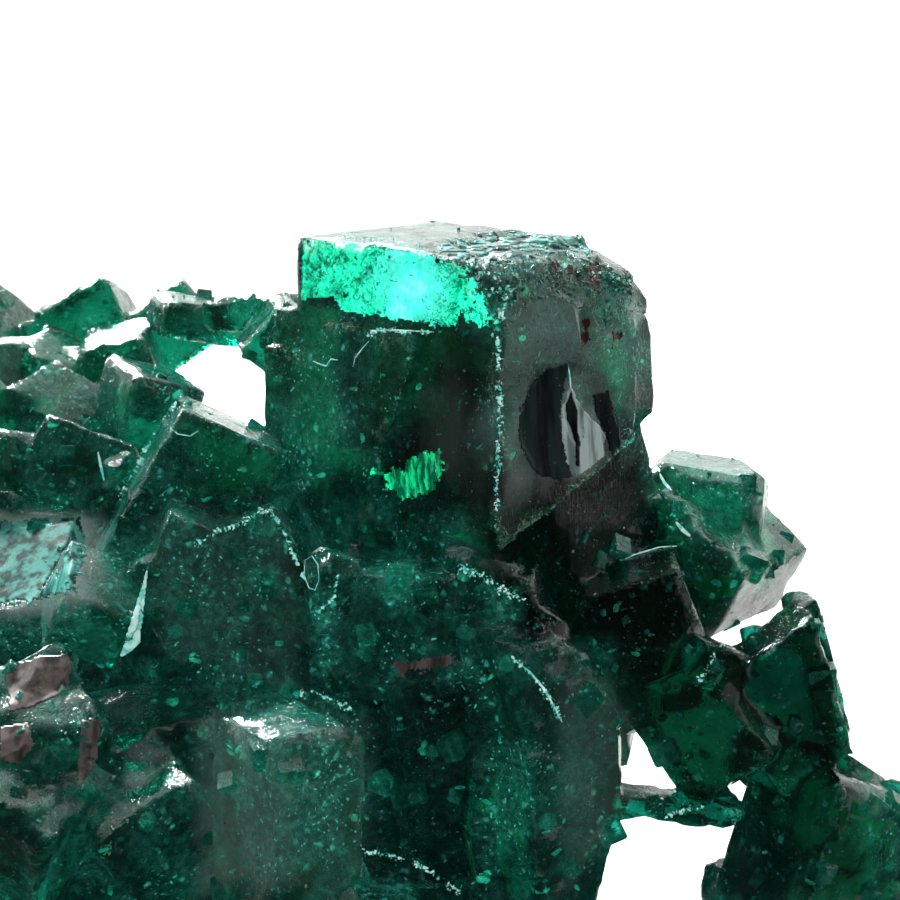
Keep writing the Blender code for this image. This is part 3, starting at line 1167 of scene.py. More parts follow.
    def _wear(self, grid: SkinGrid) -> dict[Painted, np.ndarray]:
        """Wears the edges, steps the faces, breaks off chips and etches the pits.

        Args:
            grid: The skin's points, which are moved.

        Returns:
            What is painted at each point, from 0 to 1.
        """
        noise = SpaceNoise(self.seed)
        sharp = grid.sharpness(6)
        edge = eased(grid.spread(np.clip(sharp, 0, None), 4), 0.002, 0.02)
        chips = eased(noise.layered(grid.points, 0.5, 3), 0.05, 0.7)
        plates = eased(noise.layered(grid.points * (1, 1, 0.8), 1.3, 2), 0.10, 0.16)
        islands = eased(noise.layered(grid.points + 50, 0.55, 2), 0.22, 0.27)
        depth = edge * (self.edge_depth + self.chip_depth * chips)
        depth += self.plate_depth * plates + self.island_depth * islands
        low_front = eased(-grid.points[:, 1], 2.6, 3.6) * eased(12.6 - grid.points[:, 2], 0.0, 1.2)
        hills = np.abs(noise.layered(grid.points + 20, 1.7, 3))
        depth += low_front * (self.front_hills * hills + self.front_islands * islands)
        paint = {kind: np.zeros(len(grid.points)) for kind in Painted}
        paint[Painted.WORN] = edge * (0.35 + chips)
        depth += self._mark(grid, paint, noise)
        grid.points -= grid.facing * depth[:, None]
        for chip in self.chips:
            self._break_off(grid, chip, paint[Painted.WORN], noise)
        grid.points = np.clip(grid.points, *BOX)
        return {kind: np.clip(values, 0, 1) for kind, values in paint.items()}

    def _mark(self, grid: SkinGrid, paint: dict[Painted, np.ndarray], noise: SpaceNoise) -> np.ndarray:
        """Paints the marks.

        Args:
            grid: The skin's points.
            paint: What is painted at each point, which is changed.
            noise: What makes the rims ragged.

        Returns:
            How deep the marks hollow the skin at each point.
        """
        depth = np.zeros(len(grid.points))
        seen = FRONT.places(grid.points)
        faces = grid.facing @ np.array(FRONT.ahead) < 0.1
        stray = noise.layered(grid.points + 7, 0.5, 3)
        lumps = np.abs(noise.layered(grid.points + 17, 0.42, 3, 0.6))
        for mark in self.marks:
            corners = np.array(mark.outline)
            margin = 2 * (mark.soft + mark.ragged)
            near = np.all((seen > corners.min(0) - margin) & (seen < corners.max(0) + margin), axis=1)
            chosen = np.flatnonzero(near & faces)
            inside = inside_by(seen[chosen], mark.outline) + mark.ragged * stray[chosen]
            share = eased(inside, -mark.soft, mark.soft)
            paint[mark.kind][chosen] = np.maximum(paint[mark.kind][chosen], share * mark.strength)
            depth[chosen] += share * (mark.hollow + mark.lumps * lumps[chosen])
        return depth

    @staticmethod
    def _break_off(grid: SkinGrid, chip: Chip, worn: np.ndarray, noise: SpaceNoise) -> None:
        """Breaks off one chip.

        Args:
            grid: The skin's points, which are moved.
            chip: The chip.
            worn: How worn each point is, which is changed.
            noise: What makes the break rough.
        """
        outward = np.array(chip.outward) / np.linalg.norm(chip.outward)
        away = grid.points - np.array(chip.place)
        beyond = away @ outward + chip.rough * noise.layered(grid.points + 31, 0.35, 4, 0.7)
        near = 1 - eased(np.linalg.norm(away, axis=1), 0.8 * chip.reach, chip.reach)
        moved = np.clip(beyond, 0, None) * near
        grid.points -= outward * moved[:, None]
        np.maximum(worn, eased(moved, 0.0, 0.03), out=worn)

    def _thin(self, piece: bpy.types.Object, grid: SkinGrid, paint: Mapping[Painted, np.ndarray]) -> None:
        """Thins the points out, least where the crystals are seen from the front.

        Args:
            piece: The object.
            grid: Its points.
            paint: What is painted at each.
        """
        front = eased(grid.facing @ np.array((0.0, -0.97, 0.26)), -0.3, 0.3)
        block = eased(grid.points[:, 2], 13.5, 14.5) * eased(grid.points[:, 0], -3.0, -2.0)
        rims = np.max([4 * values * (1 - values) for values in paint.values()], axis=0) * front
        groups = {"keep": np.clip(0.15 + 0.30 * front + 0.4 * block * front + 0.5 * rims, 0, 1)}
        groups.update({kind.value: values for kind, values in paint.items()})
        for name, values in groups.items():
            group = piece.vertex_groups.new(name=name)
            steps = np.round(values * self.paint_steps).astype(int)
            for step in range(1, self.paint_steps + 1):
                members = np.flatnonzero(steps == step)
                if len(members):
                    group.add(members.tolist(), step / self.paint_steps, "REPLACE")
        thin = piece.modifiers.new("thinned", "DECIMATE")
        piece.data.calc_loop_triangles()
        thin.ratio = min(1.0, self.triangles / len(piece.data.loop_triangles))
        thin.use_collapse_triangulate = True
        thin.vertex_group = "keep"
        thin.vertex_group_factor = 3.0
        flat = piece.modifiers.new("flat_faces", "WEIGHTED_NORMAL")
        flat.weight = 90
        apply_modifiers(piece)
        kept = self._weights(piece)
        piece.vertex_groups.clear()
        for kind, values in kept.items():
            attribute = piece.data.attributes.new(kind.value, "FLOAT", "POINT")
            attribute.data.foreach_set("value", values)

    @staticmethod
    def _weights(piece: bpy.types.Object) -> dict[Painted, np.ndarray]:
        """What the vertex groups of a piece hold, as one value for each point."""
        kinds = {piece.vertex_groups[kind.value].index: kind for kind in Painted}
        values = {kind: np.zeros(len(piece.data.vertices), np.float32) for kind in Painted}
        for vert in piece.data.vertices:
            for member in vert.groups:
                if member.group in kinds:
                    values[kinds[member.group]][vert.index] = member.weight
        return values

    @staticmethod
    def _to_metres(piece: bpy.types.Object) -> None:
        """Brings the mesh down from millimetres."""
        piece.data.transform(Matrix.Scale(MM, 4))
        piece.data.update()


@dataclass(frozen=True)
class Patch:
    """A thin sheet that lies under or on the skin, as its outline is seen from the front.

    Attributes:
        name: The piece's name.
        outline: Its corners in the view.
        depth: How far it lies under the skin, or below 0 over it, in millimetres.
        waves: How far it is from even, in millimetres.
        ragged: How far its rim strays, in steps of the view.
        step: How finely it is divided, in steps of the view.
        thickness: How thick it is, in millimetres.
    """

    name: str
    outline: Outline
    depth: float
    waves: float = 0.04
    ragged: float = 3.0
    step: float = 1.6
    thickness: float = 0.012


class SheetMaker:
    """Lays closed thin sheets along the skin. A sheet stops where the skin drops by more than the gap."""

    GAP = 0.25

    def __init__(self, sampler: SkinSampler, seed: int = 71) -> None:
        """Takes the skin.

        Args:
            sampler: The skin.
            seed: Which ragged rims and waves it makes.
        """
        self.sampler = sampler
        self.noise = SpaceNoise(seed)

    def build(self, patch: Patch, finish: bpy.types.Material) -> bpy.types.Object:
        """Makes one sheet.

        Args:
            patch: The sheet.
            finish: Its material.

        Returns:
            The piece, in metres.
        """
        cells, places = self._cells(patch)
        keys = sorted({corner for cell in cells for corner in cell})
        spots = {key: self.sampler.seen_at(*places[key]) for key in keys}
        keys = [key for key in keys if spots[key] is not None]
        surface = np.array([spots[key].place for key in keys])
        outward = np.array([spots[key].outward for key in keys])
        deep = patch.depth + patch.waves * self.noise.layered(surface, 0.7, 3)
        front = surface - outward * deep[:, None]
        back = front - outward * patch.thickness
        number = {key: index for index, key in enumerate(keys)}
        cells = [cell for cell in cells if all(corner in number for corner in cell)]
        faces = [tuple(number[corner] for corner in cell) for cell in cells]
        faces = [face for face in faces if np.ptp(surface[list(face)], axis=0).max() < self.GAP]
        under = [tuple(len(keys) + k for k in reversed(face)) for face in faces]
        faces += self._walls(faces, len(keys)) + under
        data = bpy.data.meshes.new(patch.name)
        points = np.clip(np.concatenate([front, back]), *BOX)
        data.from_pydata((points * MM).tolist(), [], faces)
        data.update()
        for polygon in data.polygons:
            polygon.use_smooth = True
        data.materials.append(finish)
        LOG.info("%s: %d faces", patch.name, len(data.polygons))
        return add_object(patch.name, data)

    def _cells(self, patch: Patch) -> tuple[list[tuple[Corner, ...]], dict[Corner, tuple[float, float]]]:
        """Divides a sheet into square cells.

        Args:
            patch: The sheet.

        Returns:
            The corners of each cell, as row and column, and where each corner is seen.
        """
        low = np.min(patch.outline, axis=0) - patch.ragged
        high = np.max(patch.outline, axis=0) + patch.ragged
        columns, rows = np.ceil((high - low) / patch.step).astype(int)
        grid = np.stack(np.meshgrid(np.arange(rows), np.arange(columns), indexing="ij"), -1).reshape(-1, 2)
        middles = low + patch.step * (grid[:, ::-1] + 0.5)
        stray = self.noise.layered(np.c_[middles, np.full(len(middles), patch.depth)], 9.0, 4, 0.7)
        kept = grid[inside_by(middles, patch.outline) + patch.ragged * stray > 0]
        cells = [((r, c), (r + 1, c), (r + 1, c + 1), (r, c + 1)) for r, c in kept.tolist()]
        places = {
            (r, c): (float(low[0] + patch.step * c), float(low[1] + patch.step * r))
            for r, c in {corner for cell in cells for corner in cell}
        }
        return cells, places

    @staticmethod
    def _walls(faces: Sequence[tuple[int, ...]], count: int) -> list[tuple[int, ...]]:
        """The faces that join the two sides along the rim.

        Args:
            faces: The faces of the near side.
            count: How many points each side has.

        Returns:
            The faces of the rim.
        """
        sides = {(face[k], face[(k + 1) % 4]) for face in faces for k in range(4)}
        return [(b, a, count + a, count + b) for a, b in sides if (b, a) not in sides]


@dataclass(frozen=True)
class Crack:
    """A thin healed crack inside a crystal: a plate that mirrors the light from behind, unless it is made a
    feather with a painted glow.

    Attributes:
        place: Its middle.
        facing: The direction that its mirror faces.
        along: The direction in which it is long, before it is squared to the facing.
        length: How long it is.
        width: How wide it is.
        waves: How far it is from flat.
    """

    place: Triple
    facing: Triple
    along: Triple
    length: float
    width: float
    waves: float = 0.03


@dataclass(frozen=True)
class CrackSilver:
    """The silvery film of air in a healed crack."""

    name: str = "crack_silver"
    bright: Triple = (0.80, 0.95, 0.90)
    dull: Triple = (0.30, 0.62, 0.52)

    def make(self) -> bpy.types.Material:
        """The material."""
        bench = Bench(self.name)
        cloud = bench.noise(2.5, 4.0, 0.65, 0.6)
        colour = bench.mixed(cloud.step(0.35, 0.65), self.dull, self.bright)
        rough = 0.1 + bench.noise(4.0, 3.0) * 0.12
        normal = bench.raised(bench.noise(3.0, 5.0, 0.6, 1.0), 0.025)
        inputs = {"Base Color": colour, "Metallic": 1.0, "Roughness": rough, "Normal": normal}
        return bench.finish(bench.principled(inputs))


@dataclass(frozen=True)
class LightFilledCrack:
    """The large crack under the bright band: a silvery, wrinkled mirror that catches the light from behind,
    with a painted glow on it that is brightest around one point.
    """

    name: str = "light_filled_crack"
    white: Triple = (0.55, 1.0, 0.92)
    glow: Triple = (0.03, 0.95, 0.62)
    shade: Triple = (0.0, 0.16, 0.09)
    strength: float = 2.0
    brightest: Triple = (1.0, -1.4, 19.2)
    fading: tuple[float, float] = (0.5, 1.5)

    def make(self) -> bpy.types.Material:
        """The material."""
        bench = Bench(self.name)
        wrinkles = bench.noise(2.0, 7.0, 0.66, 2.2)
        creases = bench.noise(6.5, 5.0, 0.62, 3.0)
        lit = (wrinkles * 0.6 + creases * 0.4).step(0.41, 0.55)
        colour = bench.mixed(lit, self.shade, self.glow)
        centre = 1.0 - bench.distance(bench.place, self.brightest).step(*self.fading)
        colour = bench.mixed((creases + centre * 0.22).step(0.53, 0.66), colour, self.white)
        normal = bench.raised(bench.noise(3.0, 5.0, 0.6, 1.0), 0.02)
        shader = bench.principled(
            {
                "Base Color": colour,
                "Metallic": 1.0,
                "Roughness": 0.14,
                "Normal": normal,
                "Emission Color": colour,
                "Emission Strength": self.strength,
            }
        )
        return bench.finish(shader)


@dataclass(frozen=True)
class StripedFeather:
    """A patch of painted glow in fine upright stripes under a striped face."""

    name: str = "striped_feather"
    glow: Triple = (0.04, 1.0, 0.42)
    shade: Triple = (0.0, 0.12, 0.06)
    strength: float = 3.0

    def make(self) -> bpy.types.Material:
        """The material."""
        bench = Bench(self.name)
        leaning = bench.stretched(bench.turned(bench.place, (0, 14, -41)), (7.0, 7.0, 1.1))
        stripes = bench.noise(1.0, 4.0, 0.65, 0.3, leaning)
        colour = bench.mixed(stripes.step(0.42, 0.62), self.shade, self.glow)
        return bench.finish(bench.lit(colour, 0.4, self.strength))


@dataclass(frozen=True)
class MilkyFeather:
    """A veil of fine bubbles with a painted glow, in patches that are lit or unlit at random."""

    name: str = "milky_feather"
    bright: Triple = (0.30, 1.0, 0.78)
    dull: Triple = (0.02, 0.50, 0.32)
    unlit: Triple = (0.01, 0.10, 0.07)
    glow: float = 0.75

    def make(self) -> bpy.types.Material:
        """The material."""
        bench = Bench(self.name)
        colour = bench.mixed(bench.noise(5.0, 2.0).step(0.4, 0.62), self.dull, self.bright)
        colour = bench.mixed(bench.noise(0.7, 3.0, 0.7).step(0.44, 0.62), self.unlit, colour)
        return bench.finish(bench.lit(colour, 0.5, self.glow))


@dataclass
class InnerCracks:
    """The healed cracks: those that show as bright patches, and small ones all through the cluster."""

    thickness: float = 0.012
    seed: int = 21
    glint: Vector = field(default_factory=lambda: Vector((-0.35, -0.44, 0.83)))
    count_around: int = 2000
    count_front: int = 5000
    smallest: float = 0.03
    largest: float = 0.30
    widths: tuple[float, float] = (0.3, 0.9)
    depths: tuple[float, float] = (0.03, 0.35)
    spokes: int = 9
    bright_band: Patch = Patch(
        "crack_under_bright_band",
        (
            (299, 243), (335, 241), (417, 249), (432, 260), (462, 268), (478, 290), (490, 322), (478, 327),
            (457, 313), (457, 328), (427, 323), (386, 318), (338, 310), (336, 299), (299, 297),
        ),
        0.16, 0.07, 4.0,
    )
    striped_patch: Patch = Patch(
        "crack_striped_patch",
        ((376, 473), (398, 470), (420, 452), (436, 452), (441, 464), (433, 490), (410, 499), (395,
            497), (386, 486)),
        0.12, 0.02, 5.0,
    )

    def build(self, sampler: SkinSampler) -> list[bpy.types.Object]:
        """Makes the plates.

        Args:
            sampler: The skin that they lie under.

        Returns:
            The pieces.
        """
        sheets = SheetMaker(sampler)
        # The sheets under the bright band and the striped patch carry a painted glow.
        pieces = [
            sheets.build(self.bright_band, LightFilledCrack().make()),
            sheets.build(self.striped_patch, StripedFeather().make()),
        ]
        small = self._scattered(sampler)
        # Half the small plates are silvery mirrors, the other half feathers with a painted glow.
        pieces.append(self._piece("cracks_small", small[::2], CrackSilver().make()))
        pieces.append(self._piece("feathers_small", small[1::2], MilkyFeather().make()))
        return pieces

    def _scattered(self, sampler: SkinSampler) -> list[Crack]:
        """Small cracks a little way under the skin.

        Args:
            sampler: The skin.

        Returns:
            The cracks.
        """
        rng = sampler.restart(self.seed)
        spots = sampler.anywhere(self.count_around) + sampler.seen(self.count_front)
        cracks = []
        for spot in spots:
            size = self.smallest + (self.largest - self.smallest) * float(rng.uniform()) ** 4
            place = spot.place - spot.outward * (float(rng.uniform(*self.depths)) + 0.35 * size)
            near = sampler.tree.find_nearest(place)
            if near[0] is None or (near[0] - place).length < 0.5 * size or place.z < 0.6 * size:
                continue
            facing = Vector(rng.normal(size=3)).normalized() * 0.55 + self.glint
            along = Vector(rng.normal(size=3))
            width = size * float(rng.uniform(*self.widths))
            cracks.append(Crack(tuple(place), tuple(facing), tuple(along), size, width))
        return cracks

    def _piece(self, name: str, cracks: Sequence[Crack], finish: bpy.types.Material) -> bpy.types.Object:
        """One object for many plates.

        Args:
            name: Its name.
            cracks: The cracks.
            finish: Their material.

        Returns:
            The object, in metres.
        """
        noise = SpaceNoise(self.seed)
        mesh = bmesh.new()
        for crack in cracks:
            self._add_plate(mesh, crack, noise)
        bmesh.ops.scale(mesh, vec=(MM, MM, MM), verts=mesh.verts)
        bmesh.ops.recalc_face_normals(mesh, faces=mesh.faces)
        data = bpy.data.meshes.new(name)
        mesh.to_mesh(data)
        mesh.free()
        for polygon in data.polygons:
            polygon.use_smooth = True
        data.materials.append(finish)
        LOG.info("%s: %d faces", name, len(data.polygons))
        return add_object(name, data)

    def _add_plate(self, mesh: bmesh.types.BMesh, crack: Crack, noise: SpaceNoise) -> None:
        """Adds one closed, slightly wavy plate with a ragged rim.

        Args:
            mesh: What it is added to, in millimetres.
            crack: The crack.
            noise: The hills that make it wavy.
        """
        up = Vector(crack.facing).normalized()
        long = Vector(crack.along)
        long = (long - up * long.dot(up)).normalized()
        across = up.cross(long)
        turns = np.arange(self.spokes) / self.spokes * math.tau
        around = np.stack([np.cos(turns), np.sin(turns)], 1)
        rim = 0.95 + 0.2 * noise.layered(np.c_[around, np.full(self.spokes, sum(crack.place))], 0.7, 3)
        flat = around * rim[:, None] * (crack.length / 2, crack.width / 2)
        places = np.array(crack.place) + flat[:, :1] * np.array(long) + flat[:, 1:] * np.array(across)
        waves = crack.waves * noise.layered(places, 1.1, 2)
        circles = []
        for half in (self.thickness / 2, -self.thickness / 2):
            middle = mesh.verts.new(Vector(crack.place) + up * half)
            lift = (waves + half * 0.4)[:, None] * np.array(up)
            circle = [mesh.verts.new(place) for place in places + lift]
            for near, far in zip(circle, circle[1:] + circle[:1]):
                mesh.faces.new((middle, near, far))
            circles.append(circle)
        for k in range(self.spokes):
            after = (k + 1) % self.spokes
            mesh.faces.new((circles[0][k], circles[1][k], circles[1][after], circles[0][after]))


@dataclass(frozen=True)
class PowderedDioptase:
    """Crystal crushed to a pale powder, as on bruised edges."""

    name: str = "powdered_dioptase"
    pale: Triple = (0.62, 0.84, 0.78)
    green: Triple = (0.10, 0.52, 0.40)
    bend: float = 1.66
    clearness: float = 0.45

    def make(self) -> bpy.types.Material:
        """The material."""
        bench = Bench(self.name)
        colour = bench.mixed(bench.noise(4.0, 3.0).step(0.4, 0.62), self.green, self.pale)
        rough = 0.22 + bench.noise(9.0) * 0.3
        normal = bench.raised(bench.noise(25.0, 2.0), 0.01)
        inputs = {"Base Color": colour, "Roughness": rough, "Normal": normal}
        inputs.update({"IOR": self.bend, "Transmission Weight": self.clearness})
        return bench.finish(bench.principled(inputs))


@dataclass(frozen=True)
class BrightPowder:
    """Crushed crystal with a painted glow in its own colour, used for painted highlights."""

    name: str = "bright_powder"
    pale: Triple = (0.62, 0.92, 0.88)
    green: Triple = (0.08, 0.60, 0.50)
    glow: float = 0.65

    def make(self) -> bpy.types.Material:
        """The material."""
        bench = Bench(self.name)
        colour = bench.mixed(bench.noise(5.0, 3.0).step(0.35, 0.6), self.green, self.pale)
        return bench.finish(bench.lit(colour, 0.25, self.glow))


@dataclass(frozen=True)
class PaintedReflectionAndStain:
    """A sheet in fine upright stripes that shines a little in its own colour. It paints reflections of the
    dimness in front of facets, sheen and shade, and also the rust in the pits.
    """

    name: str = "brown_painted_reflection"
    light: Triple = (0.12, 0.10, 0.095)
    dark: Triple = (0.035, 0.03, 0.03)
    glow: float = 0.45
    gloss: float = 0.5

    def make(self) -> bpy.types.Material:
        """The material."""
        bench = Bench(self.name)
        upright = bench.stretched(bench.turned(bench.place, (0, 0, -43)), (4.0, 4.0, 0.5))
        share = bench.noise(0.8, 3.0, 0.6, 0.0, upright).step(0.38, 0.60)
        colour = bench.mixed(share, self.dark, self.light)
        return bench.finish(bench.lit(colour, 0.3, self.glow, self.gloss))


@dataclass(frozen=True)
class WhiteDust:
    """Fine pale dust."""

    name: str = "white_dust"
    pale: Triple = (0.85, 0.86, 0.84)
    green: Triple = (0.40, 0.75, 0.66)

    def make(self) -> bpy.types.Material:
        """The material."""
        bench = Bench(self.name)
        colour = bench.mixed(bench.noise(3.0).step(0.35, 0.6), self.green, self.pale)
        return bench.finish(bench.principled({"Base Color": colour, "Roughness": 0.35}))


@dataclass
class SatelliteCrystals:
    """Small rhombohedra grown on the faces of the larger ones."""

    around: int = 420
    front: int = 420
    smallest: float = 0.10
    largest: float = 0.62
    sunk: tuple[float, float] = (0.15, 0.4)
    lean: float = 0.45
    stretch: tuple[float, float] = (0.8, 1.25)
    seed: int = 31

    def build(self, sampler: SkinSampler, finish: bpy.types.Material) -> bpy.types.Object:
        """Makes the piece.

        Args:
            sampler: The skin that they grow on.
            finish: Their material.

        Returns:
            The piece.
        """
        rng = sampler.restart(self.seed)
        shapes = [rhomb_grain(squash, worn) for squash in (0.82, 0.87, 0.92) for worn in (0.04, 0.09)]
        scatter = Scatter()
        for spot in sampler.anywhere(self.around) + sampler.seen(self.front):
            size = self.smallest + (self.largest - self.smallest) * float(rng.uniform()) ** 3.5
            place = spot.place - spot.outward * size * float(rng.uniform(*self.sunk))
            if place.z < size or on_tall_block(place):
                continue
            spin = float(rng.uniform(0, math.tau))
            turn = turned_to(spot.outward, spin, Vector(rng.normal(size=3)) * self.lean)
            sizes = tuple(size * float(rng.uniform(*self.stretch)) for _ in range(3))
            scatter.add(picked(shapes, rng), place, turn, sizes)
        return scatter.piece("satellite_crystals", finish)


@dataclass
class EdgeCrumbs:
    """Crushed crystal that still clings to the worn edges."""

    count: int = 6500
    smallest: float = 0.016
    largest: float = 0.10
    sunk: float = 0.2
    flat: float = 0.7
    seed: int = 41

    def build(self, sampler: SkinSampler) -> bpy.types.Object:
        """Makes the piece.

        Args:
            sampler: The skin that they cling to.

        Returns:
            The piece.
        """
        rng = sampler.restart(self.seed)
        shapes = [chip_grain(rng, 9) for _ in range(8)]
        scatter = Scatter()
        for spot in sampler.on_worn_edges(self.count):
            size = self.smallest + (self.largest - self.smallest) * float(rng.uniform()) ** 3
            turn = tumbled(rng)
            place = spot.place - spot.outward * self.sunk * size
            scatter.add(picked(shapes, rng), place, turn, (size, size, self.flat * size))
        return scatter.piece("edge_crumbs", PowderedDioptase().make())


@dataclass
class Dust:
    """Fine dust on the faces."""

    around: int = 2000
    front: int = 5000
    smallest: float = 0.010
    largest: float = 0.05
    seed: int = 51

    def build(self, sampler: SkinSampler) -> bpy.types.Object:
        """Makes the piece.

        Args:
            sampler: The skin that it lies on.

        Returns:
            The piece.
        """
        rng = sampler.restart(self.seed)
        shapes = [chip_grain(rng, 7) for _ in range(8)]
        scatter = Scatter()
        for spot in sampler.anywhere(self.around) + sampler.seen(self.front):
            size = self.smallest + (self.largest - self.smallest) * float(rng.uniform()) ** 4
            turn = tumbled(rng)
            scatter.add(picked(shapes, rng), spot.place, turn, (size, size, size))
        return scatter.piece("dust", WhiteDust().make())


@dataclass
class PaintedReflectionFacets:
    """Sheets with painted reflections: on the facets low on the left, of what is in front of them, stripes
    of reflection on the left plate, a sheen on the top face and a highlight on a needle facet.
    """

    # a painted highlight on a needle facet
    needle: Patch = Patch("needle_facet", ((148, 566), (140, 642), (131, 652), (120, 657)), -0.01, 0.0,
        0.6, 1.0)
    # painted reflections on the facets low on the left
    facets: tuple[Patch, ...] = (
        Patch("facet_left_upper", ((6, 668), (40, 656), (72, 655), (68, 690), (30, 708), (10, 712)),
            -0.01, 0.0, 1.0),
        Patch("facet_left_lower", ((0, 728), (28, 722), (34, 745), (18, 764), (0, 760)), -0.01, 0.0, 1.0),
        Patch("facet_left_inner", ((82, 722), (102, 720), (96, 760), (76, 796)), -0.01, 0.0, 1.0),
        Patch("facet_middle", ((392, 664), (452, 655), (454, 662), (396, 676)), -0.01, 0.0, 5.0),
    )
    # painted stripes of reflection on the left plate
    plate: Patch = Patch(
        "plate_streaks", ((-20, 524), (40, 520), (80, 520), (86, 545), (74, 590), (30, 602), (-20,
            606)), -0.012, 0.0, 5.0
    )
    # a painted sheen on the top face
    top_sheen: Patch = Patch(
        "top_painted_sheen", ((432, 250), (470, 238), (560, 224), (612, 236), (590, 252), (540, 257), (466,
            262)), -0.006, 0.0, 7.0
    )
    streaks: PaintedReflectionAndStain = PaintedReflectionAndStain("plate_streaks", (0.10, 0.42, 0.36), (0.004, 0.05, 0.045), 0.3, 0.1)

    def build(self, sampler: SkinSampler) -> list[bpy.types.Object]:
        """Makes the pieces.

        Args:
            sampler: The skin that they lie on.

        Returns:
            The pieces.
        """
        sheets = SheetMaker(sampler)
        finish = PaintedReflectionAndStain().make()
        pieces = [sheets.build(facet, finish) for facet in self.facets]
        streaks = self.streaks.make()
        pieces += [sheets.build(self.plate, streaks), sheets.build(self.top_sheen, streaks)]
        return pieces + [sheets.build(self.needle, BrightPowder().make())]


@dataclass
class FaceScars:
    """The scar and the pits on the right face of the tall block: the scar's hollow, split and shaded side
    painted dim as shade, its plate painted with a sheen, and the pits stained with rust.
    """

    eye: Patch = Patch(
        "scar_hollow",
        ((569, 362), (546, 370), (530, 386), (520, 410), (518, 436), (526, 460), (538, 474), (556,
            479), (572, 478), (563, 440), (560, 410)),
        -0.004, 0.0, 1.5, 1.4,
    )
    plate: Patch = Patch(
        "scar_plate",
        ((570, 388), (562, 408), (562, 436), (567, 462), (576, 476), (590, 468), (603, 456), (605,
            436), (598, 424), (588, 416)),
        -0.010, 0.0, 1.2, 1.2,
    )
    split: Patch = Patch(
        "scar_split", ((571, 392), (565, 404), (566, 418), (572, 434), (575, 446), (576, 466), (579,
            466), (580, 444), (577, 430), (577, 410)),
        -0.016, 0.0, 0.8, 1.0,
    )
    shade: Patch = Patch(
        "scar_shade", ((592, 396), (610, 390), (622, 444), (612, 458), (606, 436), (598, 420)), -0.004,
            0.0, 1.5, 1.4
    )
    pits: tuple[Patch, ...] = (
        Patch("pit_large", ((586, 268), (598, 266), (602, 278), (596, 289), (588, 284)), -0.004, 0.0,
            4.0, 1.2),
        Patch("pit_tall", ((583, 320), (589, 318), (590, 338), (586, 346), (582, 338)), -0.004, 0.0,
            2.5, 1.2),
        Patch("pit_low", ((612, 332), (621, 331), (622, 341), (613, 342)), -0.004, 0.0, 2.5, 1.2),
        Patch("pit_near", ((549, 263), (557, 262), (558, 270), (551, 271)), -0.004, 0.0, 2.5, 1.2),
        Patch("pit_upper", ((565, 268), (572, 267), (573, 274), (567, 275)), -0.004, 0.0, 2.5, 1.2),
    )
    # painted shade in the scar, a painted sheen on its plate and rust in the pits
    dim: PaintedReflectionAndStain = PaintedReflectionAndStain("scar_dimness", (0.010, 0.022, 0.020), (0.002, 0.004, 0.004), 0.4, 0.08)
    sheen: PaintedReflectionAndStain = PaintedReflectionAndStain("scar_sheen", (0.34, 0.42, 0.40), (0.09, 0.14, 0.13), 0.55)
    rust: PaintedReflectionAndStain = PaintedReflectionAndStain("pit_rust", (0.09, 0.030, 0.030), (0.022, 0.010, 0.010), 0.5, 0.2)

    def build(self, sampler: SkinSampler) -> list[bpy.types.Object]:
        """Makes the pieces.

        Args:
            sampler: The skin that they lie on.

        Returns:
            The pieces.
        """
        sheets = SheetMaker(sampler, 73)
        dim = self.dim.make()
        rust = self.rust.make()
        pieces = [sheets.build(patch, dim) for patch in (self.eye, self.split, self.shade)]
        pieces.append(sheets.build(self.plate, self.sheen.make()))
        return pieces + [sheets.build(pit, rust) for pit in self.pits]


@dataclass(frozen=True)
class Trace:
    """A bright line on the skin, as it is seen from the front.

    Attributes:
        points: Its corners in the view.
        width: How broad it is, in millimetres.
        crumbly: Whether it is made of crumbs, or else drawn in one stroke.
    """

    points: Outline
    width: float = 0.05
    crumbly: bool = False


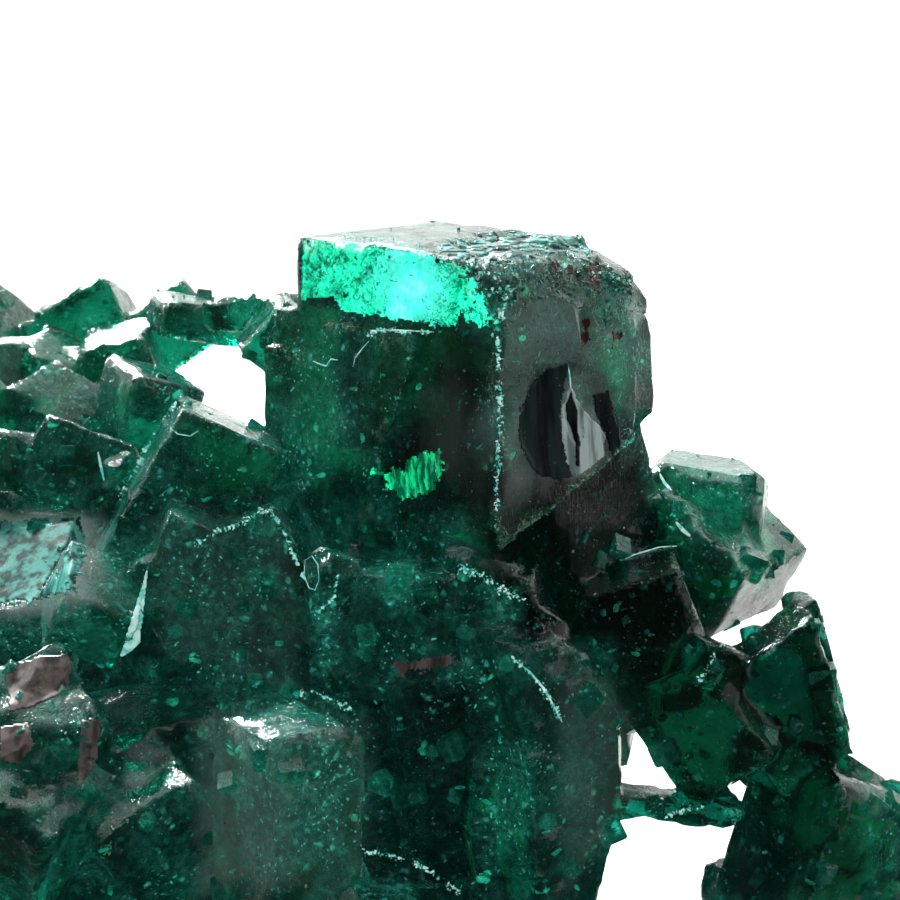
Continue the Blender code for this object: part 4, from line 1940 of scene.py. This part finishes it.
@dataclass
class BrightTraces:
    """The white lines where edges, steps and healed scratches show painted highlights, made of glowing
    crumbs and strokes.
    """

    seed: int = 81
    crumbs_per_step: float = 2.2
    sizes: tuple[float, float] = (0.014, 0.074)
    sunk: float = 0.2
    flat: float = 0.6
    gap: float = 0.45
    sides: int = 5
    traces: tuple[Trace, ...] = (
        Trace(((348, 237), (380, 240), (417, 245), (432, 256), (462, 264), (500, 265), (538, 260)),
            0.16, True),
        Trace(((497, 330), (499, 380), (500, 430), (497, 480), (497, 528)), 0.14, True),
        Trace(((474, 276), (505, 272), (530, 270)), 0.45, True),
        Trace(((486, 290), (505, 292), (515, 286)), 0.45, True),
        Trace(((488, 318), (500, 316), (505, 305)), 0.40, True),
        Trace(((555, 262), (590, 270), (625, 280)), 0.25, True),
        Trace(((445, 560), (480, 575), (520, 600)), 0.25, True),
        Trace(((369, 334), (380, 329), (395, 331), (410, 333), (432, 332)), 0.10, True),
        Trace(((372, 331), (395, 330), (432, 332)), 0.04),
        Trace(((369, 341), (361, 350), (355, 358), (353, 367)), 0.03),
        Trace(((313, 361), (320, 364), (326, 366), (331, 359), (338, 360)), 0.04),
        Trace(((170, 428), (178, 434), (190, 436), (198, 431)), 0.03),
        Trace(((182, 396), (160, 425), (140, 460), (118, 500)), 0.10, True),
        Trace(((305, 560), (312, 556), (318, 565), (319, 580), (315, 590), (309, 588), (304, 575),
            (305, 560)), 0.03),
        Trace(((620, 560), (640, 553), (660, 547), (677, 546)), 0.07),
        Trace(((515, 660), (530, 672), (545, 690), (556, 710), (562, 722)), 0.16, True),
        Trace(((515, 660), (530, 672), (545, 690), (556, 710), (562, 722)), 0.05),
        Trace(((309, 619), (325, 606), (333, 598), (338, 577)), 0.06, True),
        Trace(((270, 510), (285, 535), (293, 555), (306, 582)), 0.05, True),
        Trace(((195, 545), (215, 532), (235, 526), (255, 514), (275, 507)), 0.16, True),
        Trace(((98, 452), (101, 466), (104, 480)), 0.07),
        Trace(((660, 474), (664, 482), (671, 490)), 0.08),
        Trace(((676, 522), (683, 530), (690, 536)), 0.10),
        Trace(((725, 640), (718, 652), (708, 668), (700, 680)), 0.12, True),
        Trace(((359, 853), (380, 853), (400, 858), (420, 866), (442, 879), (463, 894)), 0.16, True),
        Trace(((296, 694), (312, 691), (338, 702), (350, 712)), 0.14, True),
        Trace(((666, 816), (684, 810), (702, 808)), 0.10, True),
        Trace(((571, 391), (570, 378), (568, 364)), 0.035),
    )

    def build(self, sampler: SkinSampler) -> bpy.types.Object:
        """Makes the piece.

        Args:
            sampler: The skin that they lie on.

        Returns:
            The piece.
        """
        rng = sampler.restart(self.seed)
        shapes = [chip_grain(rng, 9) for _ in range(8)]
        scatter = Scatter()
        for trace in self.traces:
            if trace.crumbly:
                self._crumbs(scatter, trace, shapes, sampler, rng)
            else:
                self._stroke(scatter, trace, sampler)
        return scatter.piece("bright_traces", BrightPowder().make())

    def _crumbs(
        self,
        scatter: Scatter,
        trace: Trace,
        shapes: Sequence[Grain],
        sampler: SkinSampler,
        rng: np.random.Generator,
    ) -> None:
        """Lays crumbs along a line.

        Args:
            scatter: What they are added to.
            trace: The line.
            shapes: What they look like.
            sampler: The skin.
            rng: Where their places come from.
        """
        points = np.array(trace.points)
        for start, end in zip(points, points[1:]):
            length = float(np.linalg.norm(end - start))
            clumps = rng.uniform(0, 1, max(1, int(length / 5)))
            for _ in range(int(length * self.crumbs_per_step * (0.5 + 1.2 * trace.width))):
                share = float(rng.choice(clumps)) + float(rng.normal()) * 2.5 / length
                stray = rng.normal(size=2) * trace.width * 14 * float(rng.uniform()) ** 0.5
                middle = start + (end - start) * share + stray
                spot = sampler.seen_at(*map(float, middle))
                if spot is None:
                    continue
                size = self.sizes[0] + (self.sizes[1] - self.sizes[0]) * float(rng.uniform()) ** 3
                turn = tumbled(rng)
                place = spot.place - spot.outward * self.sunk * size
                scatter.add(picked(shapes, rng), place, turn, (size, size, self.flat * size))

    def _stroke(self, scatter: Scatter, trace: Trace, sampler: SkinSampler) -> None:
        """Draws a tapered line in one stroke.

        Args:
            scatter: What it is added to.
            trace: The line.
            sampler: The skin.
        """
        points = np.array(trace.points, float)
        spots = []
        for start, end in zip(points, points[1:]):
            steps = max(2, int(np.linalg.norm(end - start) / 3))
            spots += [sampler.seen_at(*map(float, start + (end - start) * k / steps)) for k in range(steps)]
        spots = [spot for spot in spots + [sampler.seen_at(*map(float, points[-1]))] if spot is not None]
        steps = [(after.place - before.place).length for before, after in zip(spots, spots[1:])]
        gaps = [k + 1 for k, step in enumerate(steps) if step > self.gap]
        for low, high in zip([0] + gaps, gaps + [len(spots)]):
            if high - low > 2:
                self._thread(scatter, spots[low:high], trace.width)

    def _thread(self, scatter: Scatter, spots: Sequence[Spot], width: float) -> None:
        """Draws a tapered thread through these places.

        Args:
            scatter: What it is added to.
            spots: The places.
            width: How thick it is.
        """
        turns = [k * math.tau / self.sides for k in range(self.sides)]
        points = []
        for index, spot in enumerate(spots):
            ahead = spots[min(index + 1, len(spots) - 1)].place - spots[max(index - 1, 0)].place
            across = ahead.cross(spot.outward).normalized()
            half = width / 2 * (0.35 + 0.65 * math.sin(math.pi * (index + 0.5) / len(spots)))
            ring = [across * math.cos(turn) + spot.outward * 0.5 * math.sin(turn) for turn in turns]
            points += [spot.place + side * half for side in ring]
        faces = [tuple(reversed(range(self.sides)))]
        for near in range(0, len(points) - self.sides, self.sides):
            for k in range(self.sides):
                after = (k + 1) % self.sides
                faces.append((near + k, near + after, near + self.sides + after, near + self.sides + k))
        faces.append(tuple(len(points) - self.sides + k for k in range(self.sides)))
        grain = Grain(np.array(points), tuple(faces))
        scatter.add(grain, (0, 0, 0), Matrix.Identity(3), (1, 1, 1))


# The studio


@dataclass
class Studio:
    """The floor, the lights and the camera.

    Attributes:
        eye: Where the camera is.
        pitch: How far it looks down, in degrees.
        lens: Its focal length on a sensor of this width.
        floor_half: Half of the floor's width.
        surroundings: What is around, from straight in front to straight behind.
        bright_side: The direction in which it is brightest.
        right_span: Where it grows lighter towards the right.
        right_light: How light it is there.
        level_span: The heights between which that begins.
        backdrop: What shows behind the cluster.
        key_place: Where the light is.
        bounces: How often light is followed, with the two below for dull and shiny surfaces.
        noise_allowed: How much grain a place may have when it is finished, after the least tries.
    """

    eye: Triple = FRONT.eye
    pitch: float = FRONT.pitch
    lens: float = 86.4
    sensor: float = 36.0
    floor_half: float = 100.0
    floor_depth: float = 6.0
    surroundings: tuple[tuple[float, Triple], ...] = (
        (0.0, (0.014, 0.010, 0.010)),
        (0.42, (0.026, 0.020, 0.019)),
        (0.56, (0.045, 0.042, 0.042)),
        (0.65, (0.45, 0.45, 0.45)),
        (0.75, (1.05, 1.04, 1.02)),
    )
    world_strength: float = 1.35
    bright_side: Triple = (0.0, 0.99, 0.12)
    right_span: tuple[float, float] = (0.45, 0.95)
    right_light: float = 0.36
    level_span: tuple[float, float] = (-0.13, -0.03)
    backdrop: Triple = (1.0, 1.0, 1.0)
    backdrop_strength: float = 1.3
    key_place: Triple = (-46.0, 92.0, 93.5)
    key_width: float = 50.0
    key_watts: float = 0.55
    bounces: int = 5
    glossy_bounces: int = 3
    diffuse_bounces: int = 2
    noise_allowed: float = 0.2
    least_tries: int = 6

    def build(self) -> None:
        """Makes the set."""
        self._floor()
        self._world()
        self._lights()
        self._camera()

    def _floor(self) -> None:
        """A broad slab whose top the cluster stands on."""
        mesh = bmesh.new()
        bmesh.ops.create_cube(mesh, size=1.0)
        width = 2 * self.floor_half * MM
        depth = self.floor_depth * MM
        bmesh.ops.scale(mesh, vec=(width, width, depth), verts=mesh.verts)
        bmesh.ops.translate(mesh, vec=(0, 0, -depth / 2), verts=mesh.verts)
        bmesh.ops.bevel(mesh, geom=mesh.edges[:], offset=1.5 * MM, segments=3, affect="EDGES")
        data = bpy.data.meshes.new("floor")
        mesh.to_mesh(data)
        mesh.free()
        floor = add_object("floor", data)
        data.materials.append(PaleFloor().make())
        floor.visible_diffuse = False
        floor.visible_glossy = False
        floor.visible_transmission = False

    def _world(self) -> None:
        """Bright behind and to the right, dim and brownish in front."""
        world = bpy.data.worlds.new("studio")
        bpy.context.scene.world = world
        world.use_nodes = True
        tree = NodeTree(world.node_tree)
        direction = tree.signal(tree.node("ShaderNodeTexCoord"), "Generated")
        lean = {0: direction, 1: self.bright_side}
        behind = tree.signal(tree.node("ShaderNodeVectorMath", {"operation": "DOT_PRODUCT"}, lean), "Value")
        ramp = tree.node("ShaderNodeValToRGB", {"stops": self.surroundings}, {0: behind * 0.5 + 0.5})
        ramp.color_ramp.interpolation = "EASE"
        parts = tree.node("ShaderNodeSeparateXYZ", None, {0: direction})
        right = tree.step(tree.signal(parts, "X"), *self.right_span, self.right_light)
        above = tree.step(tree.signal(parts, "Z"), *self.level_span)
        lighter = {"data_type": "RGBA", "blend_type": "LIGHTEN"}
        both = tree.node("ShaderNodeMix", lighter, {0: 1.0, 6: tree.signal(ramp), 7: right * above})
        inputs = {"Color": tree.signal(both, 2), "Strength": self.world_strength}
        around = tree.signal(tree.node("ShaderNodeBackground", None, inputs))
        inputs = {"Color": self.backdrop, "Strength": self.backdrop_strength}
        seen = tree.signal(tree.node("ShaderNodeBackground", None, inputs))
        direct = tree.signal(tree.node("ShaderNodeLightPath"), "Is Camera Ray")
        choice = tree.signal(tree.node("ShaderNodeMixShader", None, {0: direct, 1: around, 2: seen}))
        tree.node("ShaderNodeOutputWorld", None, {"Surface": choice})

    def _lights(self) -> None:
        """One strong soft light high behind on the left."""
        self._soft_light("back_left_light", self.key_place, self.key_width, self.key_watts)

    def _soft_light(self, name: str, place: Triple, width: float, watts: float) -> None:
        """A square light that faces the cluster.

        Args:
            name: Its name.
            place: Its middle.
            width: Its width.
            watts: Its power.
        """
        light = bpy.data.lights.new(name, "AREA")
        light.shape = "SQUARE"
        light.size = width * MM
        light.energy = watts
        lamp = bpy.data.objects.new(name, light)
        bpy.context.scene.collection.objects.link(lamp)
        lamp.location = Vector(place) * MM
        lamp.rotation_euler = (Vector((0, 0, 12)) - Vector(place)).to_track_quat("-Z", "Y").to_euler()

    def _camera(self) -> None:
        """The camera at the photograph's viewing angle, and how light is followed."""
        camera = bpy.data.cameras.new("camera")
        camera.lens = self.lens
        camera.sensor_width = self.sensor
        camera.clip_start = 0.001
        camera.clip_end = 10.0
        stand = bpy.data.objects.new("camera", camera)
        bpy.context.scene.collection.objects.link(stand)
        stand.location = Vector(self.eye) * MM
        stand.rotation_euler = (math.radians(90 - self.pitch), 0, 0)
        scene = bpy.context.scene
        scene.camera = stand
        scene.view_settings.view_transform = "Standard"
        scene.view_settings.look = "None"
        scene.cycles.use_denoising = True
        scene.cycles.max_bounces = self.bounces
        scene.cycles.transmission_bounces = self.bounces
        scene.cycles.glossy_bounces = self.glossy_bounces
        scene.cycles.diffuse_bounces = self.diffuse_bounces
        scene.cycles.caustics_reflective = False
        scene.cycles.adaptive_threshold = self.noise_allowed
        scene.cycles.adaptive_min_samples = self.least_tries


def main() -> None:
    """Builds the pieces in order, and keeps the sizes of the model and of what shows."""
    logging.basicConfig(level=logging.INFO, format="%(message)s")
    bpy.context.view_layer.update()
    cluster = ClusterSkin()
    skin = cluster.build()
    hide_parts(NODE)
    glass = skin.data.materials[0]
    pieces = [skin]
    sampler = SkinSampler(skin)
    pieces += InnerCracks().build(sampler)
    pieces.append(SatelliteCrystals().build(sampler, glass))
    pieces.append(EdgeCrumbs().build(sampler))
    pieces.append(Dust().build(sampler))
    pieces.append(BrightTraces().build(sampler))
    pieces += PaintedReflectionFacets().build(sampler)
    pieces += FaceScars().build(sampler)
    for piece in pieces:
        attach(piece, BODY)
    Studio().build()


if __name__ == "__main__":
    main()
